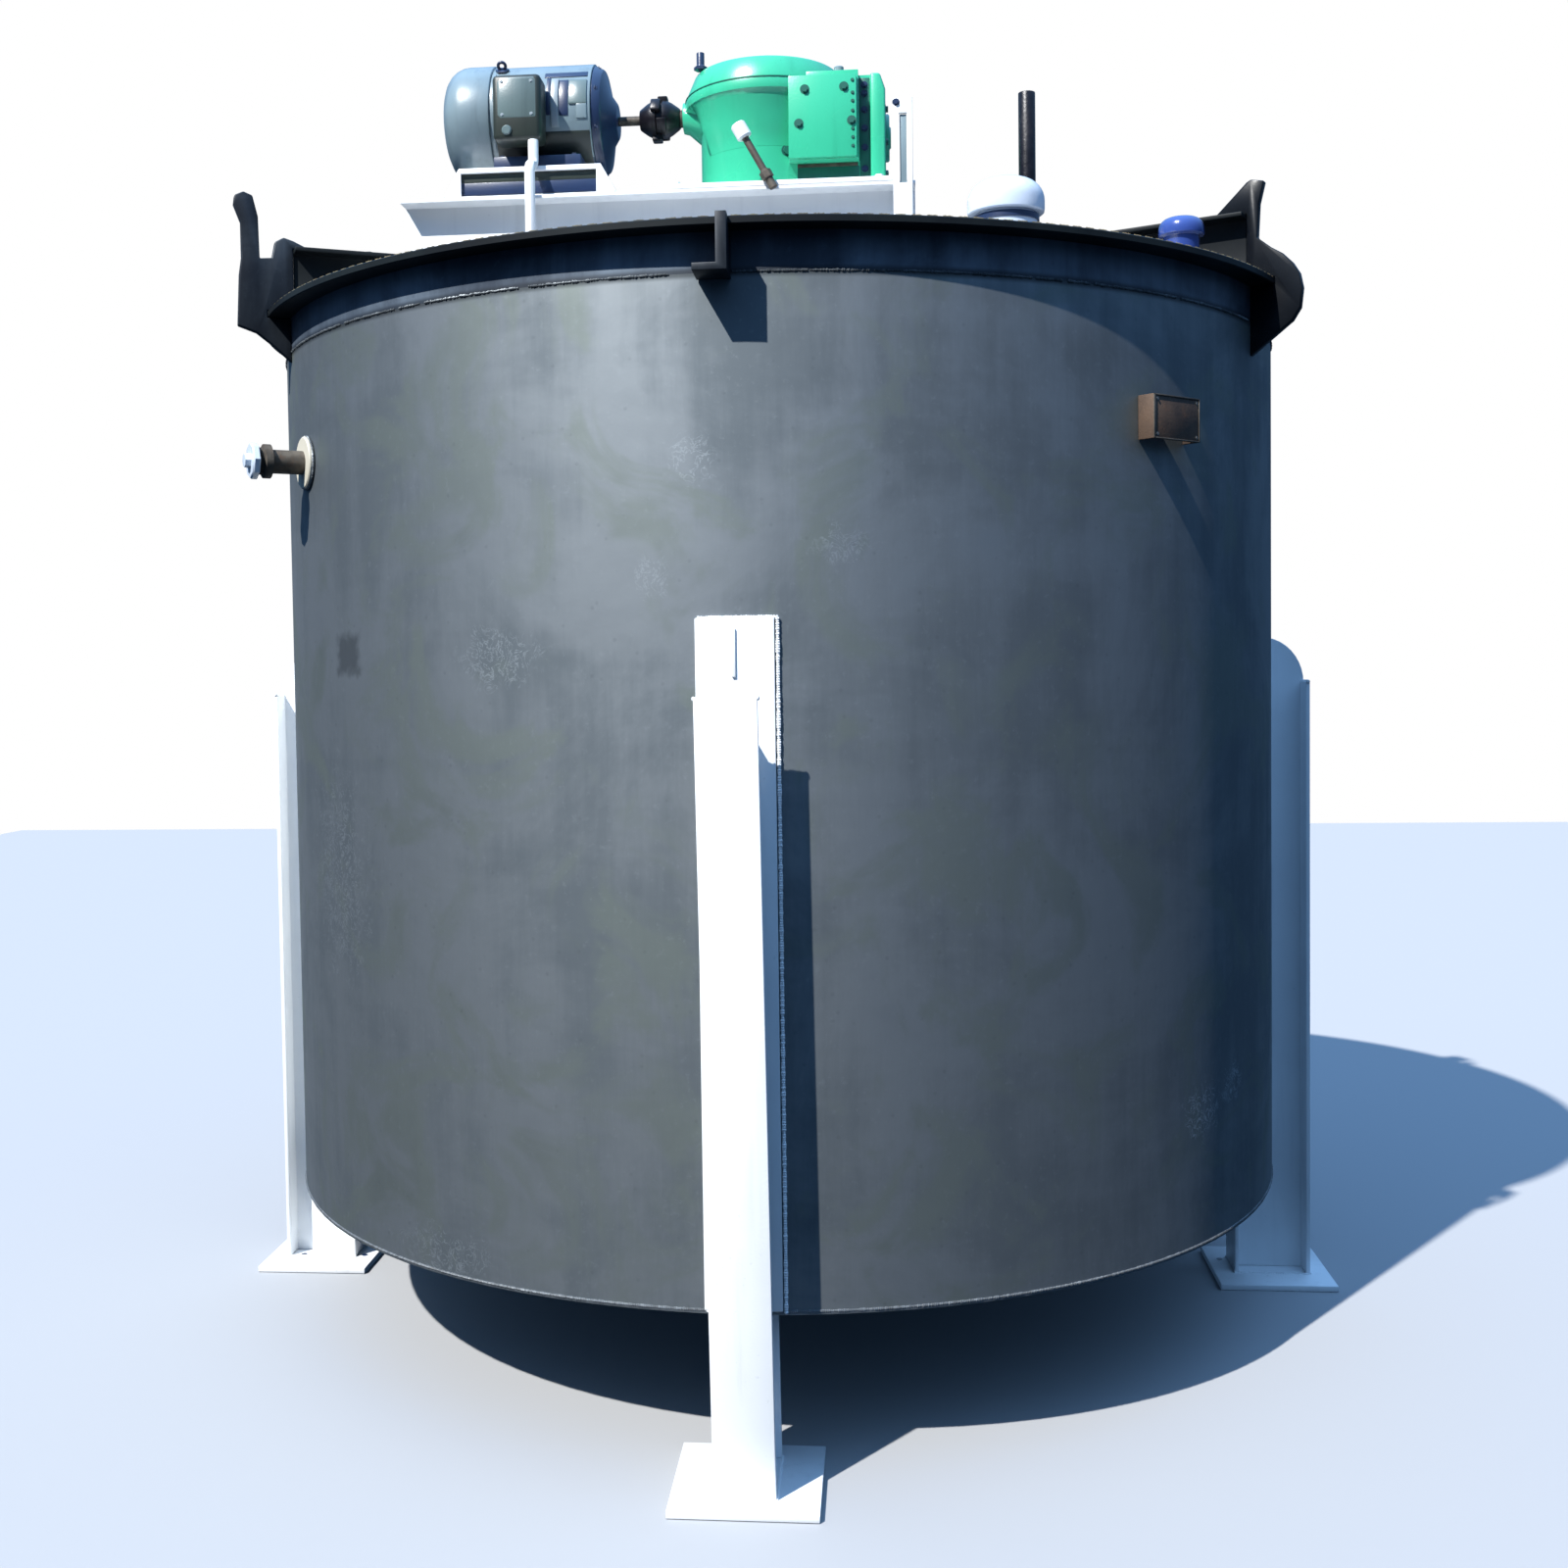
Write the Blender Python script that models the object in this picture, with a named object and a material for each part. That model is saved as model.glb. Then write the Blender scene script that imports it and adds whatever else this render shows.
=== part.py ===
"""Jacketed mixing tank on four legs, with its drive on top. Metres, +Z up.

The origin is on the tank's axis at floor level. The front leg stands at -Y,
and the motor, coupling and gearbox lie along X above the cover.
"""
import math

import bmesh
import bpy
from mathutils import Matrix, Vector

# Driving dimensions
SHELL_R = 1.295            # outside radius of the jacket
PLATE = 0.008              # jacket, collar, bottom and vessel plate
BOTTOM_Z = 0.345           # underside of the jacket's bottom
SEAM_Z = 2.453             # weld seam between the jacket and its collar
RIM_Z = 2.550              # top of the rim flange
RIM_R = 1.350              # outside radius of the rim flange
RIM_T = 0.016
VESSEL_R = 1.219           # outside radius of the inner vessel
VESSEL_BOTTOM_Z = 0.425
COVER_R = 1.300
COVER_T = 0.012
GAP = 0.0003               # between neighbouring pieces
ROUND = 96                 # sides of the big rings

LEG_WIDTH = 0.126
LEG_FACE_R = 1.411         # outer face of a leg
LEG_INNER_R = 1.213        # inner face of a leg, below the tank
LEG_TOP_Z = 1.605          # square top of the outer flange
LEG_FLANGE_T = 0.011
LEG_WEB_T = 0.009
CREST_R = 1.297            # centre of the web's rounded crest, on three legs
CREST_Z = 1.600
CREST_OUT = 0.1115         # how far the crest reaches out, and up
CREST_UP = 0.125
FRONT_LEAN = -0.0105       # sideways lean of the front leg per metre of height
FRONT_PAD_TURN = -0.29     # degrees that its pad sits off the axis
FRONT_PAD_Z = 1.765        # top of the front leg's pad
PAD_WIDTH = 0.160
PAD_T = 0.008
PAD_TOP_Z = 1.735
FOOT = 0.303               # side of a foot plate
FOOT_T = 0.016
FOOT_OUT = 1.463           # outer edge of a foot plate

EAR_T = 0.022
EAR_Z = 2.540              # height that the ears' outlines start from
EAR_TURN = 63              # degrees from the front or back ear to the next one
EAR_CLEAR = 0.001          # between an ear and the flange's edge
STUB_R = 1.388             # reach of the plain ears
STUB_H = -0.088            # top of their shelf
STUB_SHELF_T = 0.014
STUB_X0 = -0.073           # shelf's free edge
STUB_X1 = -0.004           # flat back of a plain ear
CROWN_R = 1.2865           # inner edge of the horned ears, above the cover

RIB_H = 0.140              # radial stiffeners on the cover
RIB_WIDTH = 0.090
RIB_OUT = 1.285
HUB_R = 0.300
HUB_T = 0.020

CHANNEL_H = 0.200          # white drive frame
CHANNEL_W = 0.065
CHANNEL_T = 0.010
FRAME_Y = 0.260            # outer edge of a channel's flanges
FRAME_X0 = -0.965
FRAME_X1 = 0.382
CROSS_X = -0.350           # cross member between the channels
CROSS_T = 0.012
STOOL_FOOT = 0.120         # length of the foot under the frame's left end
POST = 0.100               # side of a post of that stool
POST_Y = 0.195
BASE_X0 = -0.262           # base plate of the gearbox
BASE_X1 = 0.325
BASE_T = 0.014
BRACKET_X0 = 0.326         # upright bracket at the frame's right end
BRACKET_X1 = 0.376
BRACKET_Z0 = 2.760
BRACKET_Z1 = 3.112
BRACKET_T = 0.010
SLOT_X0 = 0.342            # slot in that bracket
SLOT_X1 = 0.362
SLOT_Z0 = 2.895
SLOT_Z1 = 3.070

DRIVE_Z = 3.163            # axis of motor and coupling
MOTOR_R = 0.150
COWL_R = 0.156
COWL_DOME = 0.068          # radius of the cowl's rounded end
MOTOR_X0 = -0.885          # fan end
MOTOR_X1 = -0.748          # cowl meets body
MOTOR_X2 = -0.475          # body meets end bell
MOTOR_X3 = -0.420          # face of the bearing boss
MOTOR_FOOT_X0 = -0.735     # feet under the motor
MOTOR_FOOT_X1 = -0.500
MOTOR_FOOT_Y = 0.160
MOTOR_FOOT_H = 0.040
END_BELL = (               # radius and distance from MOTOR_X2
    (0.146, 0.0), (0.134, 0.024), (0.070, 0.038), (0.045, MOTOR_X3 - MOTOR_X2))
STAND_X0 = -0.870          # foot of the motor's stand
STAND_X1 = -0.390
STAND_SLANT = 0.050        # how far each end leans in
STAND_Y = 0.205
STAND_T = 0.010
STAND_TOP_Z = 2.994
WINDOW_X0 = -0.815         # opening in the stand's long sides
WINDOW_X1 = -0.452
WINDOW_FOOT = 0.017        # sheet left below and above that opening
WINDOW_HEAD = 0.013
BOX_X0 = -0.720            # conduit box
BOX_X1 = -0.592
BOX_Y = 0.235
BOX_Z = 3.056              # its underside
BOX_TOP_Z = 3.226
CONDUIT_X = -0.615
CONDUIT_R = 0.014
CONDUIT_Y0 = -0.222        # below the box
CONDUIT_Y1 = -0.275        # in front of the frame
CONDUIT_Z = 3.010          # start of the double bend between the two
SHAFT_R = 0.019
COUPLING_R = 0.062
COUPLING_CORE = 0.020      # where its round halves start
COUPLING_X0 = -0.360
COUPLING_X1 = -0.250
INPUT_R = 0.023            # gearbox's input shaft
BELL_X0 = -0.240           # end face of the gearbox's input bell
BELL = (                   # radius and distance from BELL_X0
    (0.040, 0.0), (0.044, 0.015), (0.085, 0.062), (0.085, 0.100))
GEAR_X = -0.012            # axis of the gearbox's round half
DRUM_R = 0.180             # round half of the gearbox
DRUM_Z = 3.140             # where it widens to the ring
RING_R = 0.222             # flange ring on top of it
RING_Z = 3.195
RING_TAPER = 0.028         # height over which it widens
BLOCK_X0 = 0.055           # square half of the gearbox
BLOCK_X1 = 0.238
BLOCK_Z = 3.212
GEAR_Y = 0.190             # half the width of the square half
FOOT_Y = 0.155             # half the width of its undercut foot
GEAR_X1 = 0.268            # end of the neck behind it
NECK_Z = 3.208             # top of that neck
END_X = 0.308              # outer face of the end cover
END_Y = 0.170
END_Z = 3.209              # its top, before the chamfer
END_CHAMFER = (0.014, 0.042)
SHOULDER_R = 0.195         # dome's shoulder
SHOULDER_Z = 3.2565
DOME_R = 0.074             # dome's flat top
DOME_Z = 3.302
DOME_EDGE = 0.010
SIDE_FOOT_Z = 2.985        # lower edge of the side cover
SIDE_X1 = 0.233
SIDE_T = 0.022
BREATHER_X = -0.1835
BREATHER_Y = -0.088
BREATHER = (               # radius and height
    (0.0130, 3.2622), (0.0130, 3.2720), (0.0105, 3.2740), (0.0105, 3.3070))
ROD_R = 0.011              # drain rod on the frame's front
ROD_LENGTH = 0.190
ROD_LEAN = -29.3           # degrees from upright
ROD_X = 0.021              # its foot
ROD_OUT = 0.0142
ROD_Z = 2.893
KNOB_R = 0.020             # cap on its upper end
KNOB_FROM = 0.148
ROD_NUT_R = 0.016
ROD_NUT = (0.028, 0.050)
OUTPUT_R = 0.045
OUTPUT_DROP = 0.150        # how far the output shaft reaches below the cover

COVER_NOZZLE = (0.580, -0.700)
CAP_BODY_R = 0.074         # pipe and cap of the cover nozzle
CAP_R = 0.088
CAP_Z = 2.702
CAP_CORE = 0.030
CAP_LIP = 0.020
CAP_RISE = 0.053
FILL_CAP = (0.975, -0.700)
FILL_BODY_R = 0.040        # pipe and cap of the fill opening
FILL_R = 0.051
FILL_Z = 2.632
FILL_CORE = 0.026
FILL_LIP = 0.014
FILL_RISE = 0.026
VENT = (0.642, -0.540)
VENT_R = 0.020
VENT_Z = 3.020
OUTLET = (                 # bottom outlet, radius and height
    (0.110, 0.170), (0.110, 0.208), (0.051, 0.210))
NOZZLE = (                 # side nozzle, radius and distance from the tank's axis
    (0.062, 1.3070), (0.028, 1.3090), (0.028, 1.3820), (0.040, 1.3840),
    (0.040, 1.4000), (0.032, 1.4020), (0.032, 1.4120), (0.043, 1.4140), (0.043, 1.4450))
NOZZLE_Z = 2.165
NOZZLE_TURN = -56
NAME_R = 1.334             # name plate on its stand-off
NAME_T = 0.006
NAME_HALF = 0.0785
NAME_Z0 = 2.137
NAME_Z1 = 2.231
NAME_TURN = 43.6

NAME_SEAT = 1.293          # its feet on the jacket's flat facets

PAD_FOOT_Z = BOTTOM_Z + 0.010
WEB_R = SHELL_R + GAP + PAD_T / 2

COVER_Z = RIM_Z + GAP + COVER_T
RIB_Z = COVER_Z + GAP + RIB_H
UNDER_RIM = RIM_Z - RIM_T - EAR_CLEAR - EAR_Z
OVER_RIM = RIM_Z + GAP - EAR_Z
OVER_COVER = COVER_Z + GAP - EAR_Z
OVER_RIB = RIB_Z + GAP - EAR_Z
CHANNEL_Z = RIB_Z + GAP + CHANNEL_H
BASE_Z = CHANNEL_Z + GAP + BASE_T

STEEL = ("jacket_steel", (0.150, 0.170, 0.190), 0.62, 0.35)
RIM = ("rim_steel", (0.020, 0.022, 0.035), 0.55, 0.20)
WHITE = ("white_paint", (0.780, 0.800, 0.820), 0.45, 0.00)
GREEN = ("gearbox_green", (0.060, 0.620, 0.400), 0.35, 0.00)
BLUE = ("motor_blue_grey", (0.170, 0.230, 0.320), 0.40, 0.10)
BLACK = ("black_steel", (0.012, 0.012, 0.016), 0.45, 0.30)
RUST = ("rusty_steel", (0.180, 0.110, 0.060), 0.85, 0.10)
ZINC = ("galvanised_pipe", (0.420, 0.430, 0.400), 0.50, 0.70)
PALE = ("pale_cap", (0.620, 0.680, 0.760), 0.35, 0.10)


def clear_scene():
    """Remove every object that the file starts with."""
    for item in list(bpy.data.objects):
        bpy.data.objects.remove(item)


def material(finish):
    """Return the Principled material of a finish, made once."""
    name, colour, roughness, metallic = finish
    found = bpy.data.materials.get(name)
    if found:
        return found
    made = bpy.data.materials.new(name)
    made.use_nodes = True
    shader = made.node_tree.nodes["Principled BSDF"]
    shader.inputs["Base Color"].default_value = (*colour, 1.0)
    shader.inputs["Roughness"].default_value = roughness
    shader.inputs["Metallic"].default_value = metallic
    return made


def finish_mesh(bm, name):
    """Weld, orient and store a bmesh."""
    bmesh.ops.remove_doubles(bm, verts=bm.verts, dist=0.00001)
    bmesh.ops.recalc_face_normals(bm, faces=bm.faces)
    mesh = bpy.data.meshes.new(name)
    bm.to_mesh(mesh)
    bm.free()
    return mesh


def place(name, mesh, finish, location=(0, 0, 0), turn=0.0, smooth=False):
    """Make an object of a mesh and put it in the scene."""
    item = bpy.data.objects.new(name, mesh)
    bpy.context.collection.objects.link(item)
    item.location = location
    item.rotation_euler = (0.0, 0.0, turn)
    if not mesh.materials:
        mesh.materials.append(material(finish))
    if smooth:
        mesh.shade_smooth()
        mesh.set_sharp_from_angle(angle=math.radians(35))
    return item


def box_mesh(name, low, high):
    """Return a box between two corners."""
    bm = bmesh.new()
    bmesh.ops.create_cube(bm, size=1.0)
    size = Vector(high) - Vector(low)
    middle = (Vector(high) + Vector(low)) / 2
    bmesh.ops.scale(bm, vec=size, verts=bm.verts)
    bmesh.ops.translate(bm, vec=middle, verts=bm.verts)
    return finish_mesh(bm, name)


def turned_mesh(name, profile, sides=ROUND, closed=True):
    """Spin a profile of (radius, height) points about Z."""
    bm = bmesh.new()
    points = [bm.verts.new((r, 0.0, z)) for r, z in profile]
    edges = [bm.edges.new(pair) for pair in zip(points, points[1:])]
    if closed:
        edges.append(bm.edges.new((points[-1], points[0])))
    bmesh.ops.spin(
        bm, geom=points + edges, cent=(0, 0, 0), axis=(0, 0, 1),
        angle=math.tau, steps=sides, use_merge=True)
    return finish_mesh(bm, name)


def ring_mesh(name, inner, outer, low, high, sides=ROUND):
    """Return a plain ring about Z."""
    return turned_mesh(
        name, [(inner, low), (outer, low), (outer, high), (inner, high)], sides)


def disc_mesh(name, radius, low, high, sides=ROUND):
    """Return a plain disc about Z."""
    return turned_mesh(
        name, [(0, low), (radius, low), (radius, high), (0, high)], sides, False)


def along_x(mesh, centre):
    """Turn a mesh about Z into one about X, through a point."""
    turn = Matrix.Rotation(math.radians(90), 4, "Y")
    mesh.transform(Matrix.Translation(centre) @ turn)
    return mesh


def plate_mesh(name, outline, half, plane="YZ"):
    """Extrude an outline both ways across its plane.

    In the YZ plane the outline is (reach outward along -Y, height), and in
    the XZ plane it is (x, z).
    """
    bm = bmesh.new()
    if plane == "YZ":
        points = [bm.verts.new((-half, -a, b)) for a, b in outline]
        shift = (2 * half, 0, 0)
    else:
        points = [bm.verts.new((a, -half, b)) for a, b in outline]
        shift = (0, 2 * half, 0)
    face = bm.faces.new(points)
    grown = bmesh.ops.extrude_face_region(bm, geom=[face])
    moved = [v for v in grown["geom"] if isinstance(v, bmesh.types.BMVert)]
    bmesh.ops.translate(bm, vec=shift, verts=moved)
    return finish_mesh(bm, name)


def combine(name, base, tools, operation="UNION"):
    """Join or cut a mesh with others and return the result."""
    item = bpy.data.objects.new(name, base)
    bpy.context.collection.objects.link(item)
    guides = []
    for tool in tools:
        guide = bpy.data.objects.new(name + "_tool", tool)
        bpy.context.collection.objects.link(guide)
        cut = item.modifiers.new("cut", "BOOLEAN")
        cut.operation = operation
        cut.solver = "EXACT"
        cut.object = guide
        guides.append(guide)
    graph = bpy.context.evaluated_depsgraph_get()
    made = bpy.data.meshes.new_from_object(item.evaluated_get(graph))
    made.name = name
    for spare in [item] + guides:
        bpy.data.objects.remove(spare)
    bm = bmesh.new()
    bm.from_mesh(made)
    bmesh.ops.remove_doubles(bm, verts=bm.verts, dist=0.00002)
    bmesh.ops.dissolve_degenerate(bm, edges=bm.edges, dist=0.00002)
    bm.to_mesh(made)
    bm.free()
    made.materials.clear()
    return made


def tube_mesh(name, route, radius):
    """Return a round tube along a route, with filled ends."""
    curve = bpy.data.curves.new(name + "_route", "CURVE")
    curve.dimensions = "3D"
    curve.bevel_depth = radius
    curve.bevel_resolution = 3
    curve.use_fill_caps = True
    spline = curve.splines.new("POLY")
    spline.points.add(len(route) - 1)
    for point, place_on in zip(spline.points, route):
        point.co = (*place_on, 1.0)
    item = bpy.data.objects.new(name + "_route", curve)
    bpy.context.collection.objects.link(item)
    graph = bpy.context.evaluated_depsgraph_get()
    made = bpy.data.meshes.new_from_object(item.evaluated_get(graph))
    bpy.data.objects.remove(item)
    bm = bmesh.new()
    bm.from_mesh(made)
    return finish_mesh(bm, name)


def arc(centre, radii, start, end, steps):
    """Return points on an ellipse, angles in degrees from the first axis."""
    points = []
    for step in range(steps + 1):
        angle = math.radians(start + (end - start) * step / steps)
        points.append((
            centre[0] + radii[0] * math.cos(angle),
            centre[1] + radii[1] * math.sin(angle)))
    return points


def build_shell():
    """Jacket, bottom, inner vessel, collar, flange and cover."""
    inside = SHELL_R - PLATE
    place("jacket_shell", ring_mesh(
        "jacket_shell", inside, SHELL_R,
        BOTTOM_Z + PLATE + GAP, SEAM_Z - GAP), STEEL, smooth=True)
    place("jacket_bottom", disc_mesh(
        "jacket_bottom", SHELL_R, BOTTOM_Z, BOTTOM_Z + PLATE), STEEL, smooth=True)
    place("collar_band", ring_mesh(
        "collar_band", inside, SHELL_R,
        SEAM_Z, RIM_Z - RIM_T - GAP), RIM, smooth=True)
    place("rim_flange", ring_mesh(
        "rim_flange", VESSEL_R - PLATE, RIM_R, RIM_Z - RIM_T, RIM_Z), RIM, smooth=True)
    vessel = [
        (0, VESSEL_BOTTOM_Z), (VESSEL_R, VESSEL_BOTTOM_Z),
        (VESSEL_R, RIM_Z - RIM_T - GAP), (VESSEL_R - PLATE, RIM_Z - RIM_T - GAP),
        (VESSEL_R - PLATE, VESSEL_BOTTOM_Z + PLATE), (0, VESSEL_BOTTOM_Z + PLATE)]
    place("inner_vessel", turned_mesh(
        "inner_vessel", vessel, ROUND, False), STEEL, smooth=True)
    place("cover_plate", ring_mesh(
        "cover_plate", 0.080, COVER_R, RIM_Z + GAP, COVER_Z), RIM, smooth=True)
    outlet = [(0, OUTLET[0][1]), *OUTLET]
    outlet += [(OUTLET[-1][0], BOTTOM_Z - GAP), (0, BOTTOM_Z - GAP)]
    place("bottom_outlet", turned_mesh(
        "bottom_outlet", outlet, 32, False), STEEL, smooth=True)


def pad_mesh(top):
    """Curved pad that a leg is welded to."""
    low = SHELL_R + GAP
    half = math.degrees(PAD_WIDTH / 2 / SHELL_R)
    inner = arc((0, 0), (low, low), -90 - half, -90 + half, 6)
    outer = arc((0, 0), (low + PAD_T, low + PAD_T), -90 + half, -90 - half, 6)
    bm = bmesh.new()
    points = [bm.verts.new((x, y, PAD_FOOT_Z)) for x, y in inner + outer]
    face = bm.faces.new(points)
    grown = bmesh.ops.extrude_face_region(bm, geom=[face])
    moved = [v for v in grown["geom"] if isinstance(v, bmesh.types.BMVert)]
    bmesh.ops.translate(bm, vec=(0, 0, top - PAD_FOOT_Z), verts=moved)
    return finish_mesh(bm, "pad")


def leg_mesh(crest, pad, lean=0.0):
    """One leg at -Y: outer flange, web, inner flange and pad.

    The crest is the web's upper line as (reach, height), from the pad out to
    the flange. The lean is sideways, per metre of height.
    """
    foot_z = FOOT_T + GAP
    top_z = BOTTOM_Z - GAP
    half = LEG_WIDTH / 2
    outer = LEG_FACE_R - LEG_FLANGE_T / 2
    inner = LEG_INNER_R + LEG_FLANGE_T / 2
    flange = box_mesh(
        "leg_flange", (-half, -LEG_FACE_R, foot_z),
        (half, -LEG_FACE_R + LEG_FLANGE_T, LEG_TOP_Z))
    back = box_mesh(
        "leg_back", (-half, -LEG_INNER_R - LEG_FLANGE_T, foot_z),
        (half, -LEG_INNER_R, top_z))
    web = plate_mesh(
        "leg_web",
        [(WEB_R, top_z)] + crest + [(outer, foot_z), (inner, foot_z), (inner, top_z)],
        LEG_WEB_T / 2)
    leaning = Matrix.Identity(4)
    leaning[0][2] = lean
    for mesh in (flange, back, web):
        mesh.transform(leaning)
    return combine("leg", flange, [web, back, pad])


def build_legs():
    """Four legs on the axes, each on its square foot plate."""
    flat = LEG_TOP_Z - 0.001
    front_pad = pad_mesh(FRONT_PAD_Z)
    front_pad.transform(Matrix.Rotation(math.radians(FRONT_PAD_TURN), 4, "Z"))
    front = leg_mesh(
        [(WEB_R, flat), (LEG_FACE_R - LEG_FLANGE_T / 2, flat)], front_pad, FRONT_LEAN)
    other = leg_mesh(
        arc((CREST_R, CREST_Z), (CREST_OUT, CREST_UP), 90, 0, 10), pad_mesh(PAD_TOP_Z))
    foot = box_mesh(
        "foot", (-FOOT / 2, -FOOT_OUT, 0.0), (FOOT / 2, -FOOT_OUT + FOOT, FOOT_T))
    for side, degrees, leg in (
            ("front", 0, front), ("right", 90, other), ("back", 180, other),
            ("left", 270, other)):
        turn = math.radians(degrees)
        place("leg_" + side, leg, WHITE, turn=turn)
        place("foot_plate_" + side, foot, WHITE, turn=turn)


def ear_mesh(crown, lower):
    """Radial plate of an ear: the crown above the rim, and the part below it.

    Both are lists of (reach, height above EAR_Z). The plate is notched around
    the rim flange.
    """
    outline = [(SHELL_R + GAP, UNDER_RIM)] + lower + crown
    outline += [(RIM_R + EAR_CLEAR, OVER_RIM), (RIM_R + EAR_CLEAR, UNDER_RIM)]
    return plate_mesh("ear", [(r, EAR_Z + h) for r, h in outline], EAR_T / 2)


def stub_mesh():
    """Plain ear: an angle section with its shelf to the left."""
    foot = STUB_H - STUB_SHELF_T
    upright = ear_mesh(
        [(STUB_R, OVER_RIM)], [(SHELL_R + GAP, foot), (STUB_R, foot)])
    upright.transform(Matrix.Translation((STUB_X1 - EAR_T / 2, 0, 0)))
    shelf = box_mesh(
        "ear_shelf", (STUB_X0, -STUB_R, EAR_Z + foot),
        (STUB_X1 - EAR_T / 2, -SHELL_R - 0.002, EAR_Z + STUB_H))
    return combine("ear", upright, [shelf])


def hook_mesh():
    """Ear with a tall bar that leans out, and a low nose that runs in over its rib."""
    crown = [
        (1.409, 0.136), (1.409, 0.220), (1.425, 0.262), (1.422, 0.284),
        (1.401, 0.294), (1.380, 0.286), (1.368, 0.236), (1.366, 0.136),
        (1.337, 0.139), (1.329, 0.178), (1.308, 0.190), (1.285, 0.183),
        (1.254, 0.169), (1.215, OVER_RIB), (CROWN_R, OVER_RIB),
        (CROWN_R, OVER_COVER), (COVER_R + EAR_CLEAR, OVER_COVER),
        (COVER_R + EAR_CLEAR, OVER_RIM)]
    lower = [
        (SHELL_R + GAP, -0.112), (1.315, -0.094), (1.340, -0.072),
        (1.377, -0.044), (1.421, -0.029), (1.415, 0.095)]
    return ear_mesh(crown, lower)


def gusset_mesh():
    """Ear with a rounded nose, and a triangular gusset that runs in over its rib."""
    crown = [
        (1.369, 0.062), (1.343, 0.079), (1.311, 0.106), (1.315, 0.184),
        (1.327, 0.234), (1.296, 0.241), (CROWN_R, 0.236), (1.208, OVER_RIB),
        (CROWN_R, OVER_RIB), (CROWN_R, OVER_COVER),
        (COVER_R + EAR_CLEAR, OVER_COVER), (COVER_R + EAR_CLEAR, OVER_RIM)]
    lower = [
        (SHELL_R + GAP, -0.166), (1.391, -0.094), (1.409, -0.066),
        (1.414, -0.021), (1.407, 0.013), (1.391, 0.039)]
    return ear_mesh(crown, lower)


def build_ears():
    """Six ears under the rim; two of those at the ribs carry horns."""
    meshes = {"plain": stub_mesh(), "hook": hook_mesh(), "gusset": gusset_mesh()}
    kinds = (
        ("front", 0, "plain"), ("front_right", EAR_TURN, "gusset"),
        ("back_right", 180 - EAR_TURN, "plain"), ("back", 180, "plain"),
        ("back_left", 180 + EAR_TURN, "plain"), ("front_left", -EAR_TURN, "hook"))
    for side, degrees, kind in kinds:
        place("ear_" + side, meshes[kind], RIM, turn=math.radians(degrees))


def build_cover_ribs():
    """Four radial I-beams that meet in a hub ring, as one weldment."""
    low = COVER_Z + GAP
    hub = ring_mesh("hub", HUB_R - HUB_T, HUB_R, low, RIB_Z, 48)
    parts = []
    for degrees in (EAR_TURN, 180 - EAR_TURN, 180 + EAR_TURN, -EAR_TURN):
        turn = Matrix.Rotation(math.radians(degrees), 4, "Z")
        half = RIB_WIDTH / 2
        start = HUB_R - HUB_T / 2
        section = [
            (-half, low), (half, low), (half, low + 0.010), (0.004, low + 0.012),
            (0.004, RIB_Z - 0.012), (half, RIB_Z - 0.010), (half, RIB_Z),
            (-half, RIB_Z), (-half, RIB_Z - 0.010), (-0.004, RIB_Z - 0.012),
            (-0.004, low + 0.012), (-half, low + 0.010)]
        rib = plate_mesh("rib", section, (RIB_OUT - start) / 2, "XZ")
        rib.transform(turn @ Matrix.Translation((0, -(start + RIB_OUT) / 2, 0)))
        parts.append(rib)
    place("cover_ribs", combine("cover_ribs", hub, parts), RIM)


def channel_mesh(side):
    """One long channel of the drive frame, open to the outside."""
    low = RIB_Z + GAP
    outer = side * FRAME_Y
    web = side * (FRAME_Y - CHANNEL_W)
    lip = web + side * CHANNEL_T
    section = [
        (web, low), (outer, low), (outer, low + CHANNEL_T), (lip, low + CHANNEL_T),
        (lip, CHANNEL_Z - CHANNEL_T), (outer, CHANNEL_Z - CHANNEL_T),
        (outer, CHANNEL_Z), (web, CHANNEL_Z)]
    bm = bmesh.new()
    face = bm.faces.new([bm.verts.new((FRAME_X0, y, z)) for y, z in section])
    grown = bmesh.ops.extrude_face_region(bm, geom=[face])
    moved = [v for v in grown["geom"] if isinstance(v, bmesh.types.BMVert)]
    bmesh.ops.translate(bm, vec=(FRAME_X1 - FRAME_X0, 0, 0), verts=moved)
    return finish_mesh(bm, "channel")


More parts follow.
